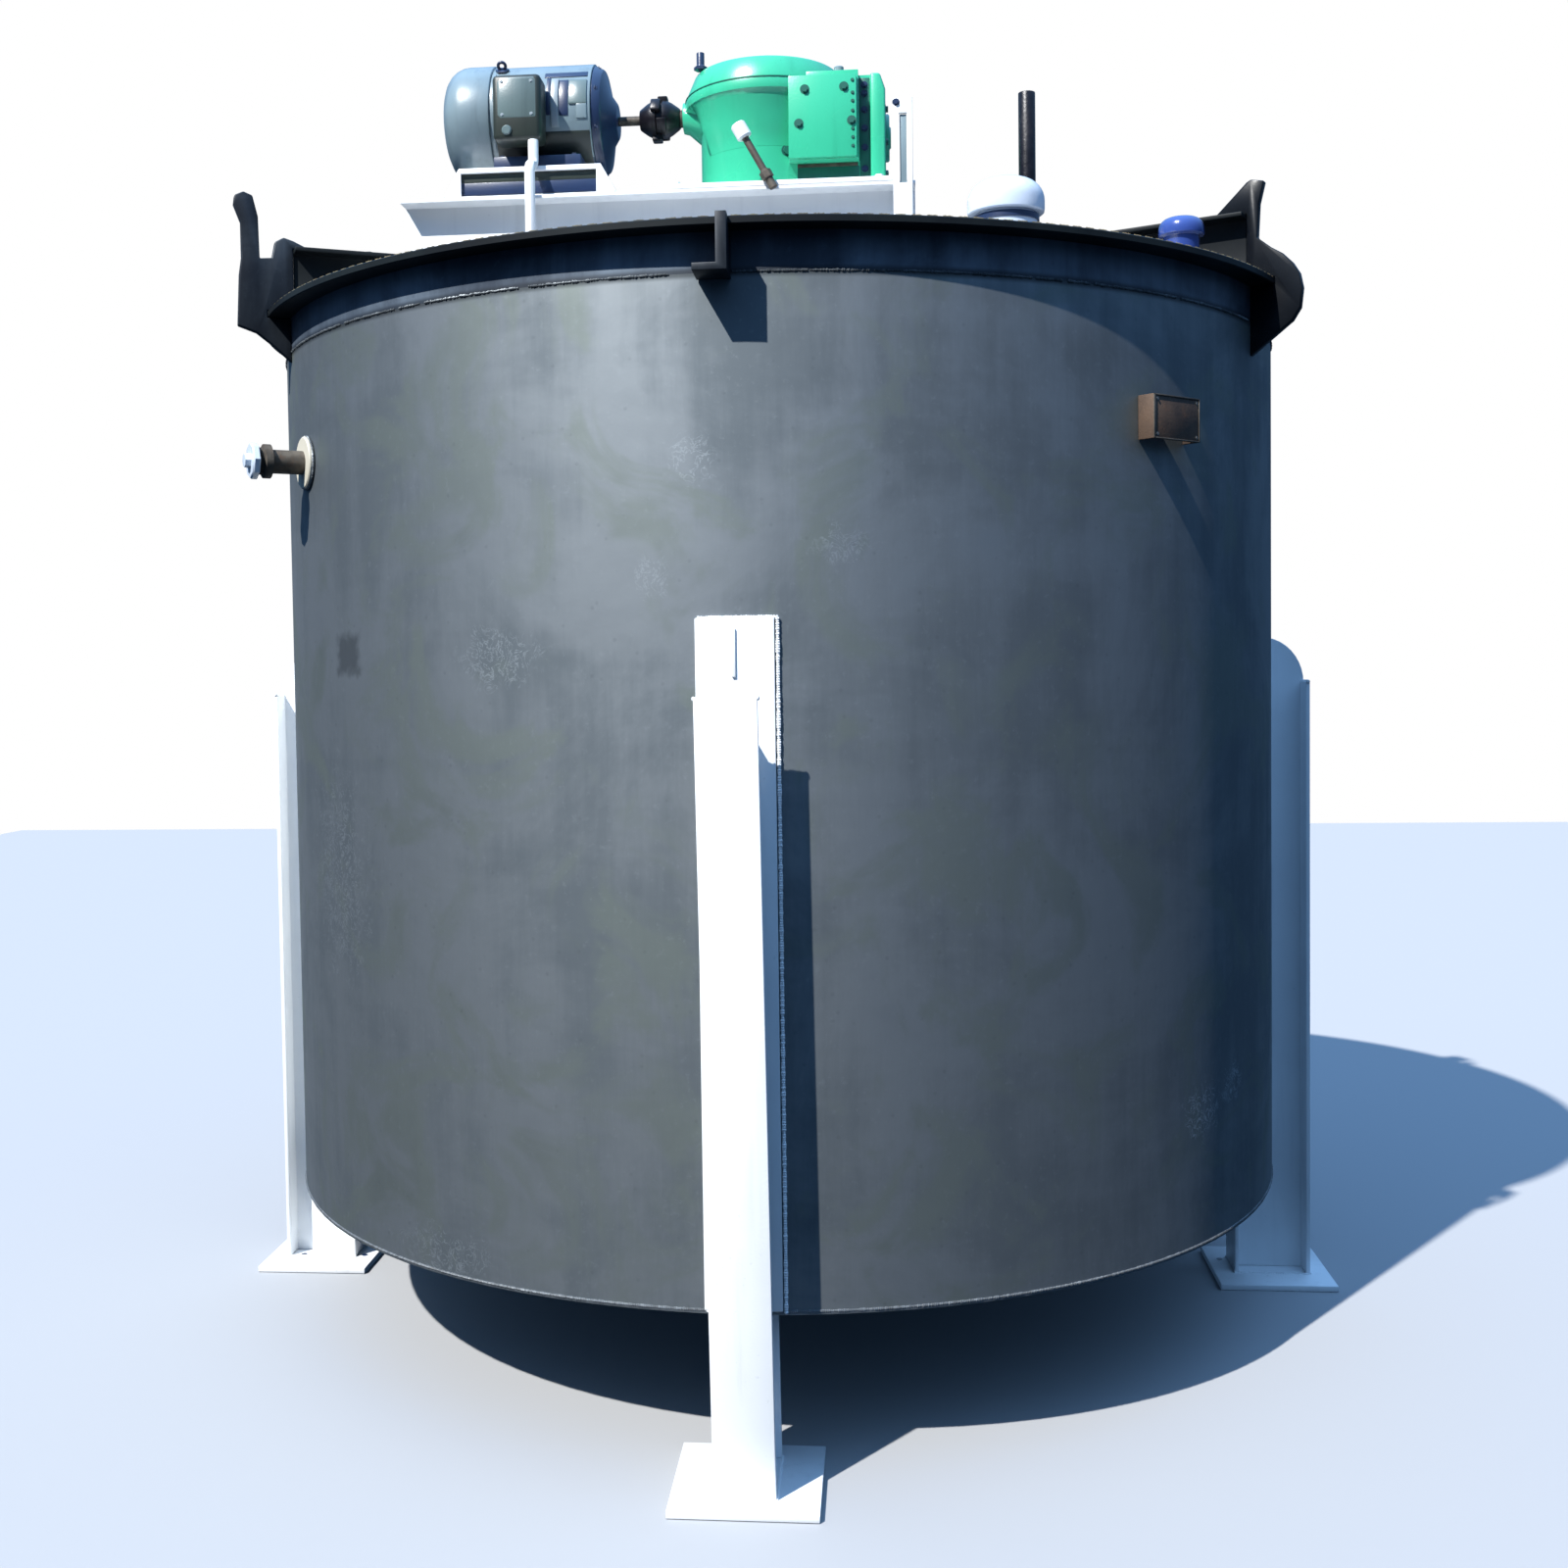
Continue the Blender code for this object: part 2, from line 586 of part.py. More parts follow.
def build_frame():
    """White frame on the ribs: channels, cross members, stool and base plate."""
    place("frame_channel_front", channel_mesh(-1), WHITE)
    place("frame_channel_back", channel_mesh(1), WHITE)
    inner = FRAME_Y - CHANNEL_W - GAP
    low = RIB_Z + GAP
    for name, x in (("frame_cross_mid", CROSS_X), ("frame_cross_right", FRAME_X1 - CROSS_T)):
        place(name, box_mesh(
            name, (x, -inner, low), (x + CROSS_T, inner, CHANNEL_Z)), WHITE)
    seat = COVER_Z + GAP
    plate = box_mesh(
        "stool_plate", (FRAME_X0, -inner, seat), (FRAME_X0 + CROSS_T, inner, CHANNEL_Z))
    foot = box_mesh(
        "stool_foot", (FRAME_X0, -FRAME_Y, seat),
        (FRAME_X0 + STOOL_FOOT, FRAME_Y, seat + CROSS_T))
    posts = [box_mesh(
        "stool_post", (FRAME_X0, middle - POST / 2, seat),
        (FRAME_X0 + POST, middle + POST / 2, RIB_Z)) for middle in (-POST_Y, POST_Y)]
    place("frame_stool", combine("frame_stool", plate, [foot] + posts), WHITE)
    place("gear_base_plate", box_mesh(
        "gear_base_plate", (BASE_X0, -FRAME_Y, CHANNEL_Z + GAP),
        (BASE_X1, FRAME_Y, BASE_Z)), WHITE)
    back = -FRAME_Y - GAP
    bracket = box_mesh(
        "bracket", (BRACKET_X0, back - BRACKET_T, BRACKET_Z0), (BRACKET_X1, back, BRACKET_Z1))
    slot = box_mesh(
        "slot", (SLOT_X0, back - 2 * BRACKET_T, SLOT_Z0),
        (SLOT_X1, back + BRACKET_T, SLOT_Z1))
    place("upright_bracket", combine(
        "upright_bracket", bracket, [slot], "DIFFERENCE"), WHITE)


def stand_mesh():
    """Sheet stand under the motor, open at its ends and windowed on its sides."""
    low = CHANNEL_Z + GAP
    outline = [
        (STAND_X0, low), (STAND_X1, low), (STAND_X1 - STAND_SLANT, STAND_TOP_Z),
        (STAND_X0 + STAND_SLANT, STAND_TOP_Z)]
    body = plate_mesh("stand", outline, STAND_Y, "XZ")
    window = box_mesh(
        "window", (WINDOW_X0, -2 * STAND_Y, low + WINDOW_FOOT),
        (WINDOW_X1, 2 * STAND_Y, STAND_TOP_Z - WINDOW_HEAD))
    inner = STAND_Y - STAND_T
    hollow = box_mesh(
        "hollow", (2 * STAND_X0, -inner, low - STAND_Y), (0, inner, STAND_TOP_Z - STAND_T))
    return combine("motor_stand", body, [window, hollow], "DIFFERENCE")


def conduit_route():
    """Return the conduit's route as (y, z), from the box down to the rib."""
    step = (CONDUIT_Y0 - CONDUIT_Y1) / 2
    middle = CONDUIT_Y0 - step
    route = [(CONDUIT_Y0, BOX_Z - GAP)]
    route += arc((middle, CONDUIT_Z), (step, step), 0, -90, 5)
    route += arc((middle, CONDUIT_Z - 2 * step), (step, step), 90, 180, 5)[1:]
    return route + [(CONDUIT_Y1, RIB_Z + GAP)]


def build_motor():
    """Stand, motor body, fan cowl, end bell, conduit box and conduit."""
    place("motor_stand", stand_mesh(), WHITE)
    centre = (0, 0, DRIVE_Z)
    barrel = along_x(disc_mesh(
        "barrel", MOTOR_R, MOTOR_X1 + GAP, MOTOR_X2 - GAP, 48), centre)
    feet = box_mesh(
        "feet", (MOTOR_FOOT_X0, -MOTOR_FOOT_Y, STAND_TOP_Z + GAP),
        (MOTOR_FOOT_X1, MOTOR_FOOT_Y, STAND_TOP_Z + MOTOR_FOOT_H))
    place("motor_body", combine("motor_body", barrel, [feet]), BLUE, smooth=True)
    dome = COWL_DOME
    cowl = [(0, MOTOR_X1), (COWL_R, MOTOR_X1)]
    cowl += arc((COWL_R - dome, MOTOR_X0 + dome), (dome, dome), 0, -90, 6)
    cowl.append((0, MOTOR_X0))
    place("fan_cowl", along_x(turned_mesh(
        "fan_cowl", cowl, 48, False), centre), BLUE, smooth=True)
    bell = [(0, MOTOR_X2)] + [(r, MOTOR_X2 + x) for r, x in END_BELL] + [(0, MOTOR_X3)]
    place("motor_end_bell", along_x(turned_mesh(
        "motor_end_bell", bell, 48, False), centre), BLUE, smooth=True)
    place("conduit_box", box_mesh(
        "conduit_box", (BOX_X0, -BOX_Y, BOX_Z), (BOX_X1, -MOTOR_R - GAP, BOX_TOP_Z)), BLUE)
    route = [(CONDUIT_X, y, z) for y, z in conduit_route()]
    place("conduit", tube_mesh("conduit", route, CONDUIT_R), WHITE)


def build_coupling():
    """Shaft and coupling between motor and gearbox, the one moving piece."""
    profile = [
        (0, MOTOR_X3 + GAP), (SHAFT_R, MOTOR_X3 + GAP), (SHAFT_R, COUPLING_X0)]
    middle = (COUPLING_X0 + COUPLING_X1) / 2
    half = (COUPLING_X1 - COUPLING_X0) / 2
    profile += arc(
        (COUPLING_CORE, middle), (COUPLING_R - COUPLING_CORE, half), -90, 90, 8)
    profile += [
        (INPUT_R, COUPLING_X1 + 0.002), (INPUT_R, BELL_X0 - GAP), (0, BELL_X0 - GAP)]
    place("drive_coupling", along_x(turned_mesh(
        "drive_coupling", profile, 32, False), (0, 0, DRIVE_Z)), BLACK, smooth=True)


def gear_body(name, low, top, spare):
    """Round half of the gearbox with its ring, grown by a spare width."""
    body = turned_mesh(name, [
        (0, low), (DRUM_R + spare, low), (DRUM_R + spare, DRUM_Z - spare),
        (RING_R + spare, DRUM_Z + RING_TAPER - spare), (RING_R + spare, top),
        (0, top)], 64, False)
    body.transform(Matrix.Translation((GEAR_X, 0, 0)))
    return body


def build_gearbox():
    """Housing, input bell, dome, covers, breather, drain rod and output shaft."""
    low = BASE_Z + GAP
    blocks = [
        box_mesh("block", (BLOCK_X0, -GEAR_Y, SIDE_FOOT_Z), (BLOCK_X1, GEAR_Y, BLOCK_Z)),
        box_mesh("foot", (0.0, -FOOT_Y, low), (GEAR_X1, FOOT_Y, SIDE_FOOT_Z + 0.010)),
        box_mesh("neck", (BLOCK_X1 - 0.010, -FOOT_Y, low), (GEAR_X1, FOOT_Y, NECK_Z))]
    seat = disc_mesh("seat", RING_R + GAP, RING_Z, RING_Z + 0.2, 64)
    seat.transform(Matrix.Translation((GEAR_X, 0, 0)))
    union = combine("gear_housing", gear_body("drum", low, RING_Z, 0.0), blocks)
    place("gear_housing", combine(
        "gear_housing", union, [seat], "DIFFERENCE"), GREEN, smooth=True)
    clear = gear_body("clear", low - 0.1, RING_Z + 0.2, GAP)
    bell = [(0, BELL_X0)] + [(r, BELL_X0 + x) for r, x in BELL]
    bell.append((0, BELL_X0 + BELL[-1][1]))
    bell_mesh = along_x(turned_mesh("bell", bell, 32, False), (0, 0, DRIVE_Z))
    place("input_bell", combine(
        "input_bell", bell_mesh, [clear], "DIFFERENCE"), GREEN, smooth=True)
    dome = [
        (0, RING_Z + GAP), (RING_R, RING_Z + GAP), (SHOULDER_R, SHOULDER_Z),
        (DOME_R, DOME_Z - DOME_EDGE / 3), (DOME_R - DOME_EDGE, DOME_Z), (0, DOME_Z)]
    place("gear_dome", turned_mesh("gear_dome", dome, 64, False), GREEN,
          location=(GEAR_X, 0, 0), smooth=True)
    side = box_mesh(
        "side_cover", (BLOCK_X0 + 0.002, -GEAR_Y - GAP - SIDE_T, SIDE_FOOT_Z),
        (SIDE_X1, -GEAR_Y - GAP, RING_Z))
    place("side_cover", combine("side_cover", side, [clear.copy()], "DIFFERENCE"), GREEN)
    end = [
        (GEAR_X1 + GAP, low), (END_X, low), (END_X, END_Z - END_CHAMFER[1]),
        (END_X - END_CHAMFER[0], END_Z), (GEAR_X1 + GAP, END_Z)]
    place("end_cover", plate_mesh("end_cover", end, END_Y, "XZ"), GREEN)
    place("output_shaft", disc_mesh(
        "output_shaft", OUTPUT_R, COVER_Z - OUTPUT_DROP, CHANNEL_Z, 32), BLACK, smooth=True)


def build_gear_fittings():
    """Breather on the dome, and the drain rod on the frame's front."""
    breather = [(0, BREATHER[0][1]), *BREATHER, (0, BREATHER[-1][1])]
    place("breather", turned_mesh(
        "breather", breather, 16, False), BLUE,
        location=(BREATHER_X, BREATHER_Y, 0), smooth=True)
    rod = disc_mesh("rod", ROD_R, 0.0, ROD_LENGTH, 16)
    knob = disc_mesh("knob", KNOB_R, KNOB_FROM, ROD_LENGTH, 16)
    nut = disc_mesh("nut", ROD_NUT_R, *ROD_NUT, 6)
    stick = combine("drain_rod", rod, [knob, nut])
    lean = Matrix.Rotation(math.radians(ROD_LEAN), 4, "Y")
    stick.transform(Matrix.Translation((ROD_X, -FRAME_Y - ROD_OUT, ROD_Z)) @ lean)
    place("drain_rod", stick, ZINC, smooth=True)


def cap_profile(body_r, cap_r, cap_z, core, lip, rise):
    """Return the profile of a pipe on the cover with a domed cap on it."""
    low = COVER_Z + GAP
    pipe = [(0, low), (body_r, low), (body_r, cap_z - 0.002), (cap_r, cap_z)]
    crown = arc((core, cap_z + lip), (cap_r - core, rise), 0, 90, 6)
    return pipe + crown + [(0, cap_z + lip + rise)]


def build_fittings():
    """Nozzle, vent and cap on the cover, nozzle and name plate on the shell."""
    nozzle = cap_profile(CAP_BODY_R, CAP_R, CAP_Z, CAP_CORE, CAP_LIP, CAP_RISE)
    place("cover_nozzle", turned_mesh(
        "cover_nozzle", nozzle, 32, False), PALE, location=(*COVER_NOZZLE, 0), smooth=True)
    cap = cap_profile(FILL_BODY_R, FILL_R, FILL_Z, FILL_CORE, FILL_LIP, FILL_RISE)
    place("fill_cap", turned_mesh(
        "fill_cap", cap, 32, False), PALE, location=(*FILL_CAP, 0), smooth=True)
    place("vent_pipe", disc_mesh(
        "vent_pipe", VENT_R, COVER_Z + GAP, VENT_Z, 20), BLACK, location=(*VENT, 0),
        smooth=True)
    base = SHELL_R + GAP
    pipe = [(0, base), (NOZZLE[0][0], base), *NOZZLE, (0, NOZZLE[-1][1])]
    side = turned_mesh("side_nozzle", pipe, 32, False)
    side.transform(Matrix.Rotation(math.radians(90), 4, "X"))
    place("side_nozzle", side, ZINC, location=(0, 0, NOZZLE_Z),
          turn=math.radians(NOZZLE_TURN), smooth=True)
    plate = box_mesh(
        "name_plate", (-NAME_HALF, -NAME_R, NAME_Z0), (NAME_HALF, -NAME_R + NAME_T, NAME_Z1))
    legs = [box_mesh(
        "plate_leg", (x, -NAME_R + NAME_T / 2, NAME_Z0), (x + NAME_T, -NAME_SEAT, NAME_Z1))
        for x in (-NAME_HALF, NAME_HALF - NAME_T)]
    place("name_plate_bracket", combine("name_plate_bracket", plate, legs), RUST,
          turn=math.radians(NAME_TURN))


def main():
    """Build the whole tank."""
    clear_scene()
    build_shell()
    build_legs()
    build_ears()
    build_cover_ribs()
    build_frame()
    build_motor()
    build_coupling()
    build_gearbox()
    build_gear_fittings()
    build_fittings()


main()
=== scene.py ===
"""Looks of the jacketed mixing tank.

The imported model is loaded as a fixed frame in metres, +Z up, with the front
leg at -Y. Each class below dresses one sub-assembly: it softens or rebuilds
the frame's nodes, adds fasteners, welds and small fittings, and gives every
piece its finish. Angles round the tank are in degrees from the front leg.
"""
import logging
import math
import random
from dataclasses import dataclass
from enum import Enum

import bmesh
import bpy
from mathutils import Matrix, Vector, noise


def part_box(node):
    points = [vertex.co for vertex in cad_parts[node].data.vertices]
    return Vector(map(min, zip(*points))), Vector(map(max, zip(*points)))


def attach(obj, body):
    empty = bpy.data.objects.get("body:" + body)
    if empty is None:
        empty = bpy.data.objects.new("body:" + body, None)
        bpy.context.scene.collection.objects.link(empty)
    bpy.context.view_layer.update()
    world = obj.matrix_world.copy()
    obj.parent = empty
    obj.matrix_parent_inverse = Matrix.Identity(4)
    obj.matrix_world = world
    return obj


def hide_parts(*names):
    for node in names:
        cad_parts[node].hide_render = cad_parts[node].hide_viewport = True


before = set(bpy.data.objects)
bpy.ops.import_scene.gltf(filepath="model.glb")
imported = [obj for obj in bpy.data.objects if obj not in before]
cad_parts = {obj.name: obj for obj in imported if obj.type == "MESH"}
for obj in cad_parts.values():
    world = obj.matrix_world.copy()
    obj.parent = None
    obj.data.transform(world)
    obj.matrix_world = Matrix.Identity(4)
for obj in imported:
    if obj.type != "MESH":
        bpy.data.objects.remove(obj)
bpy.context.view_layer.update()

LOG = logging.getLogger("mixing_tank")
MERGE = 0.00002
UP = Vector((0, 0, 1))
OUTWARD = Vector((0, -1, 0))
ALONG = Vector((1, 0, 0))
Point = tuple[float, float, float]
Colour = tuple[float, float, float]
Pair = tuple[float, float]
Outline = list[Pair]
Socket = bpy.types.NodeSocket


class Body(Enum):
    """Bodies of the frame that a piece can ride on."""

    TANK = "tank"
    SHAFT = "drive_shaft"


class Head(Enum):
    """Kinds of fastener head, as numbers of sides."""

    HEX = 6
    ROUND = 16


class Bolt(Enum):
    """Sizes of fasteners, as a head's radius and height; a hole is a flat disc painted dark as
    the shade inside it.
    """

    FRAME = (0.0110, 0.0090)
    PLUG = (0.0105, 0.0070)
    FOOT = (0.0100, 0.0080)
    OUTLET = (0.0090, 0.0070)
    COVER = (0.0085, 0.0070)
    BELL = (0.0075, 0.0060)
    NECK = (0.0065, 0.0060)
    HOLE = (0.0060, 0.0006)
    SCREW = (0.0034, 0.0030)
    LID_SCREW = (0.0032, 0.0020)
    RIVET = (0.0028, 0.0016)


# Node trees and finishes


class NodeTree:
    """Short ways to add and link nodes, shared by every kind of tree."""

    def __init__(self, tree: bpy.types.NodeTree) -> None:
        """Keep the tree that the nodes go in."""
        self.tree = tree

    def feed(self, socket: Socket, value: object) -> None:
        """Link a socket to another, or set its constant.

        Args:
            socket: input to feed.
            value: another node's output, or a constant.
        """
        if isinstance(value, Socket):
            self.tree.links.new(value, socket)
        elif socket.type == "RGBA":
            socket.default_value = (*value, 1.0)
        else:
            socket.default_value = value

    def node(self, kind: str, inputs: dict[str, object] | None = None,
             **values: object) -> bpy.types.Node:
        """Add a node.

        Args:
            kind: Blender's name of the node type.
            inputs: constants or sockets by the names of its inputs.
            **values: properties of the node.

        Returns:
            The new node.
        """
        made = self.tree.nodes.new(kind)
        for name, value in values.items():
            setattr(made, name, value)
        for name, value in (inputs or {}).items():
            self.feed(next(s for s in made.inputs if s.name == name and s.enabled), value)
        return made

    def math(self, operation: str, *values: object) -> Socket:
        """Add a math node.

        Args:
            operation: Blender's name of the operation.
            *values: its inputs, in order.

        Returns:
            The result.
        """
        made = self.node("ShaderNodeMath", operation=operation)
        for socket, value in zip(made.inputs, values):
            self.feed(socket, value)
        return made.outputs[0]

    def mix(self, share: object, first: object, second: object) -> Socket:
        """Mix two colours.

        Args:
            share: how much of the second colour, 0 to 1.
            first: colour or socket at share 0.
            second: colour or socket at share 1.

        Returns:
            The mixed colour.
        """
        made = self.node("ShaderNodeMix", {"Factor": share, "A": first, "B": second},
                         data_type="RGBA")
        return next(s for s in made.outputs if s.enabled)


@dataclass(frozen=True)
class Pattern:
    """A fractal noise, by its features per metre."""

    scale: float
    detail: float = 4.0
    rough: float = 0.55
    warp: float = 0.0
    stretch: Point | None = None


CLOUDS = Pattern(2.1, 5.0, 0.62, warp=0.6)
DRIPS = Pattern(1.0, 6.0, 0.62, stretch=(6.5, 6.5, 0.7))
BANDS = Pattern(1.0, 4.0, 0.6, stretch=(0.6, 0.6, 5.0))
GRAIN = Pattern(58.0, 5.0, 0.72)
GREENING = Pattern(3.4, 4.0, 0.6, warp=1.2)
LUMPS = Pattern(7.0, 2.0)
RAGGED_EDGE = Pattern(38.0)
SCRATCHES = Pattern(24.0, 3.0, 0.6, warp=2.5)
PAINT_CLOUDS = Pattern(3.5, 3.0)
PAINT_RUNS = Pattern(1.0, 5.0, 0.6, stretch=(26.0, 26.0, 1.6))
PAINT_SPECKS = Pattern(70.0, 4.0, 0.7)
METAL_CLOUDS = Pattern(9.0, 5.0, 0.65)
METAL_STAINS = Pattern(17.0, 6.0, 0.7)
METAL_PITS = Pattern(140.0, 5.0, 0.7)
PITS_PER_METRE = 23.0
RUST_BROWN = (0.16, 0.075, 0.035)


class Shading(NodeTree):
    """A material's tree, with the patterns that the finishes share."""

    def __init__(self, material: bpy.types.Material) -> None:
        """Find the material's shader and the object's coordinates.

        Args:
            material: what the tree belongs to.
        """
        material.use_nodes = True
        super().__init__(material.node_tree)
        self.shader = self.tree.nodes["Principled BSDF"]
        self.place = self.node("ShaderNodeTexCoord").outputs["Object"]

    def noise(self, pattern: Pattern) -> Socket:
        """Add fractal noise.

        Args:
            pattern: which noise.

        Returns:
            The noise value, about 0 to 1.
        """
        place = self.place
        if pattern.stretch:
            place = self.node("ShaderNodeMapping", {
                "Vector": place, "Scale": pattern.stretch}).outputs["Vector"]
        return self.node("ShaderNodeTexNoise", {
            "Vector": place, "Scale": pattern.scale, "Detail": pattern.detail,
            "Roughness": pattern.rough, "Distortion": pattern.warp}).outputs["Fac"]

    def spots(self, scale: float) -> Socket:
        """Scatter cells through the object.

        Args:
            scale: cells per metre.

        Returns:
            The distance to the nearest cell's centre.
        """
        return self.node("ShaderNodeTexVoronoi", {
            "Vector": self.place, "Scale": scale}).outputs["Distance"]

    def window(self, value: object, low: float, high: float,
               out_low: float = 0.0, out_high: float = 1.0) -> Socket:
        """Map a value smoothly from one range to another.

        Args:
            value: what to map.
            low: value that gives out_low.
            high: value that gives out_high.
            out_low: result at the low end.
            out_high: result at the high end.

        Returns:
            The mapped value.
        """
        return self.node("ShaderNodeMapRange", {
            "Value": value, "From Min": low, "From Max": high, "To Min": out_low,
            "To Max": out_high}, interpolation_type="SMOOTHSTEP").outputs["Result"]

    def weighed(self, *parts: tuple[Socket, float]) -> Socket:
        """Add patterns up.

        Args:
            *parts: pairs of a pattern and its weight.

        Returns:
            The weighted sum.
        """
        total = 0.0
        for value, weight in parts:
            total = self.math("MULTIPLY_ADD", value, weight, total)
        return total

    def relief(self, height: object, depth: float, strength: float) -> None:
        """Give the shader a bump.

        Args:
            height: pattern, 0 to 1.
            depth: its depth in metres.
            strength: share of the full effect.
        """
        made = self.node("ShaderNodeBump", {
            "Height": height, "Distance": depth, "Strength": strength})
        self.feed(self.shader.inputs["Normal"], made.outputs["Normal"])

    def finish(self, **values: object) -> None:
        """Feed the shader.

        Args:
            **values: constants or sockets, by its inputs' names with _ for spaces.
        """
        for name, value in values.items():
            self.feed(self.shader.inputs[name.replace("_", " ")], value)


def dimmed(colour: Colour, share: float) -> Colour:
    """Return a colour at a share of its brightness."""
    return tuple(min(1.0, share * c) for c in colour)


@dataclass(frozen=True)
class Finish:
    """A finish by name, made into a material once."""

    name: str
    slot: str
    colour: Colour
    shade: Colour
    roughness: float = 0.5
    metallic: float = 0.0

    def material(self) -> bpy.types.Material:
        """Make the material, or find it again.

        Returns:
            The finish's material.
        """
        made = bpy.data.materials.get(self.name)
        if made is None:
            made = bpy.data.materials.new(self.name)
            self.paint(Shading(made))
        return made

    def paint(self, tree: Shading) -> None:
        """Fill the material's tree; each kind of finish has its own way."""
        raise NotImplementedError


@dataclass(frozen=True)
class Enamel(Finish):
    """Brushed or sprayed paint with faint runs, dust and a slight orange peel."""

    dirt: float = 0.25
    peel: float = 220.0
    coat: float = 0.2
    coat_roughness: float = 0.18
    peel_depth: float = 0.0006

    def paint(self, tree: Shading) -> None:
        """Lay cloudy colour, rain streaks, specks and a fine bump.

        Args:
            tree: the material's tree.
        """
        cloud = tree.noise(PAINT_CLOUDS)
        grime = tree.window(tree.noise(PAINT_RUNS), 0.5, 0.8, 0.0, self.dirt)
        speck = tree.window(tree.noise(PAINT_SPECKS), 0.66, 0.74, 0.0, self.dirt)
        base = tree.mix(
            tree.window(cloud, 0.35, 0.7, 0.0, self.dirt), self.colour, self.shade)
        base = tree.mix(grime, base, dimmed(self.shade, 0.6))
        tree.finish(
            Base_Color=tree.mix(speck, base, dimmed(self.shade, 0.45)),
            Roughness=tree.window(
                cloud, 0.3, 0.8, self.roughness - 0.06, self.roughness + 0.10),
            Metallic=self.metallic, Coat_Weight=self.coat,
            Coat_Roughness=self.coat_roughness)
        tree.relief(tree.noise(Pattern(self.peel, 2.0)), self.peel_depth, 0.35)


@dataclass(frozen=True)
class Mark:
    """A stain or scuff on the jacket, by angle from the front and height."""

    turn: float
    half_turn: float
    height: float
    half_height: float
    strength: float
    scratched: bool = False


@dataclass(frozen=True)
class MillSteel(Finish):
    """Mottled sheet steel with streaks, clouds, runs, stains and scuffs."""

    tint: Colour | None = None
    marks: tuple[Mark, ...] = ()
    lumps: float = 0.004
    seam: float = 0.0
    gloss: float = 0.5

    def patch(self, tree: Shading, turn: Socket, height: Socket, mark: Mark) -> Socket:
        """Mask one stain.

        Args:
            tree: the material's tree.
            turn: degrees round the tank from the front.
            height: height in metres.
            mark: the stain, square, or round if it is scratched.

        Returns:
            The mask, 0 outside and up to the strength inside.
        """
        across, up = (
            tree.math("DIVIDE", tree.math("ABSOLUTE", tree.math("SUBTRACT", value, middle)), half)
            for value, middle, half in (
                (turn, mark.turn, mark.half_turn), (height, mark.height, mark.half_height)))
        ragged = tree.math("SUBTRACT", tree.noise(RAGGED_EDGE), 0.5)
        if not mark.scratched:
            reach = tree.weighed((ragged, 0.9), (tree.math("MAXIMUM", across, up), 1.0))
            return tree.window(reach, 1.25, 0.6, 0.0, mark.strength)
        squares = tree.weighed(
            (tree.math("POWER", across, 2.0), 1.0), (tree.math("POWER", up, 2.0), 1.0))
        reach = tree.weighed((ragged, 2.2), (tree.math("SQRT", squares), 1.0))
        lines = tree.math(
            "ABSOLUTE", tree.math("SUBTRACT", tree.noise(SCRATCHES), 0.5))
        return tree.math(
            "MULTIPLY", tree.window(reach, 1.25, 0.6, 0.0, mark.strength),
            tree.window(lines, 0.035, 0.008))

    def paint(self, tree: Shading) -> None:
        """Layer clouds, streaks, bands, stains and grain.

        Args:
            tree: the material's tree.
        """
        split = tree.node("ShaderNodeSeparateXYZ", {"Vector": tree.place})
        side, depth, height = split.outputs
        turn = tree.math("ARCTAN2", side, tree.math("MULTIPLY", depth, -1.0))
        turn = tree.math("MULTIPLY", turn, math.degrees(1.0))
        fine = tree.noise(GRAIN)
        tone = tree.weighed(
            (tree.noise(CLOUDS), 0.45), (tree.noise(DRIPS), 0.35), (tree.noise(BANDS), 0.20))
        base = tree.mix(tree.window(tone, 0.41, 0.59), self.shade, self.colour)
        if self.tint:
            green = tree.window(tree.noise(GREENING), 0.48, 0.66, 0.0, 0.55)
            base = tree.mix(green, base, self.tint)
        base = tree.mix(
            tree.window(fine, 0.55, 0.75, 0.0, 0.22), base, dimmed(self.colour, 1.3))
        pits = tree.window(tree.spots(PITS_PER_METRE), 0.13, 0.05, 0.0, 0.16)
        base = tree.mix(pits, base, dimmed(self.shade, 0.55))
        for mark in self.marks:
            stain = dimmed(self.colour, 1.8) if mark.scratched else dimmed(self.shade, 0.35)
            base = tree.mix(self.patch(tree, turn, height, mark), base, stain)
        if self.seam:
            off = tree.math("ABSOLUTE", tree.math("SUBTRACT", height, self.seam))
            burn = tree.window(off, 0.014, 0.003, 0.0, 0.75)
            base = tree.mix(burn, base, dimmed(self.shade, 0.3))
        tree.finish(
            Base_Color=base, Metallic=self.metallic, Specular_IOR_Level=self.gloss,
            Roughness=tree.window(
                tone, 0.38, 0.62, self.roughness + 0.07, self.roughness - 0.05))
        tree.relief(
            tree.weighed((tree.noise(LUMPS), 0.7), (fine, 0.06)), self.lumps, 0.35)


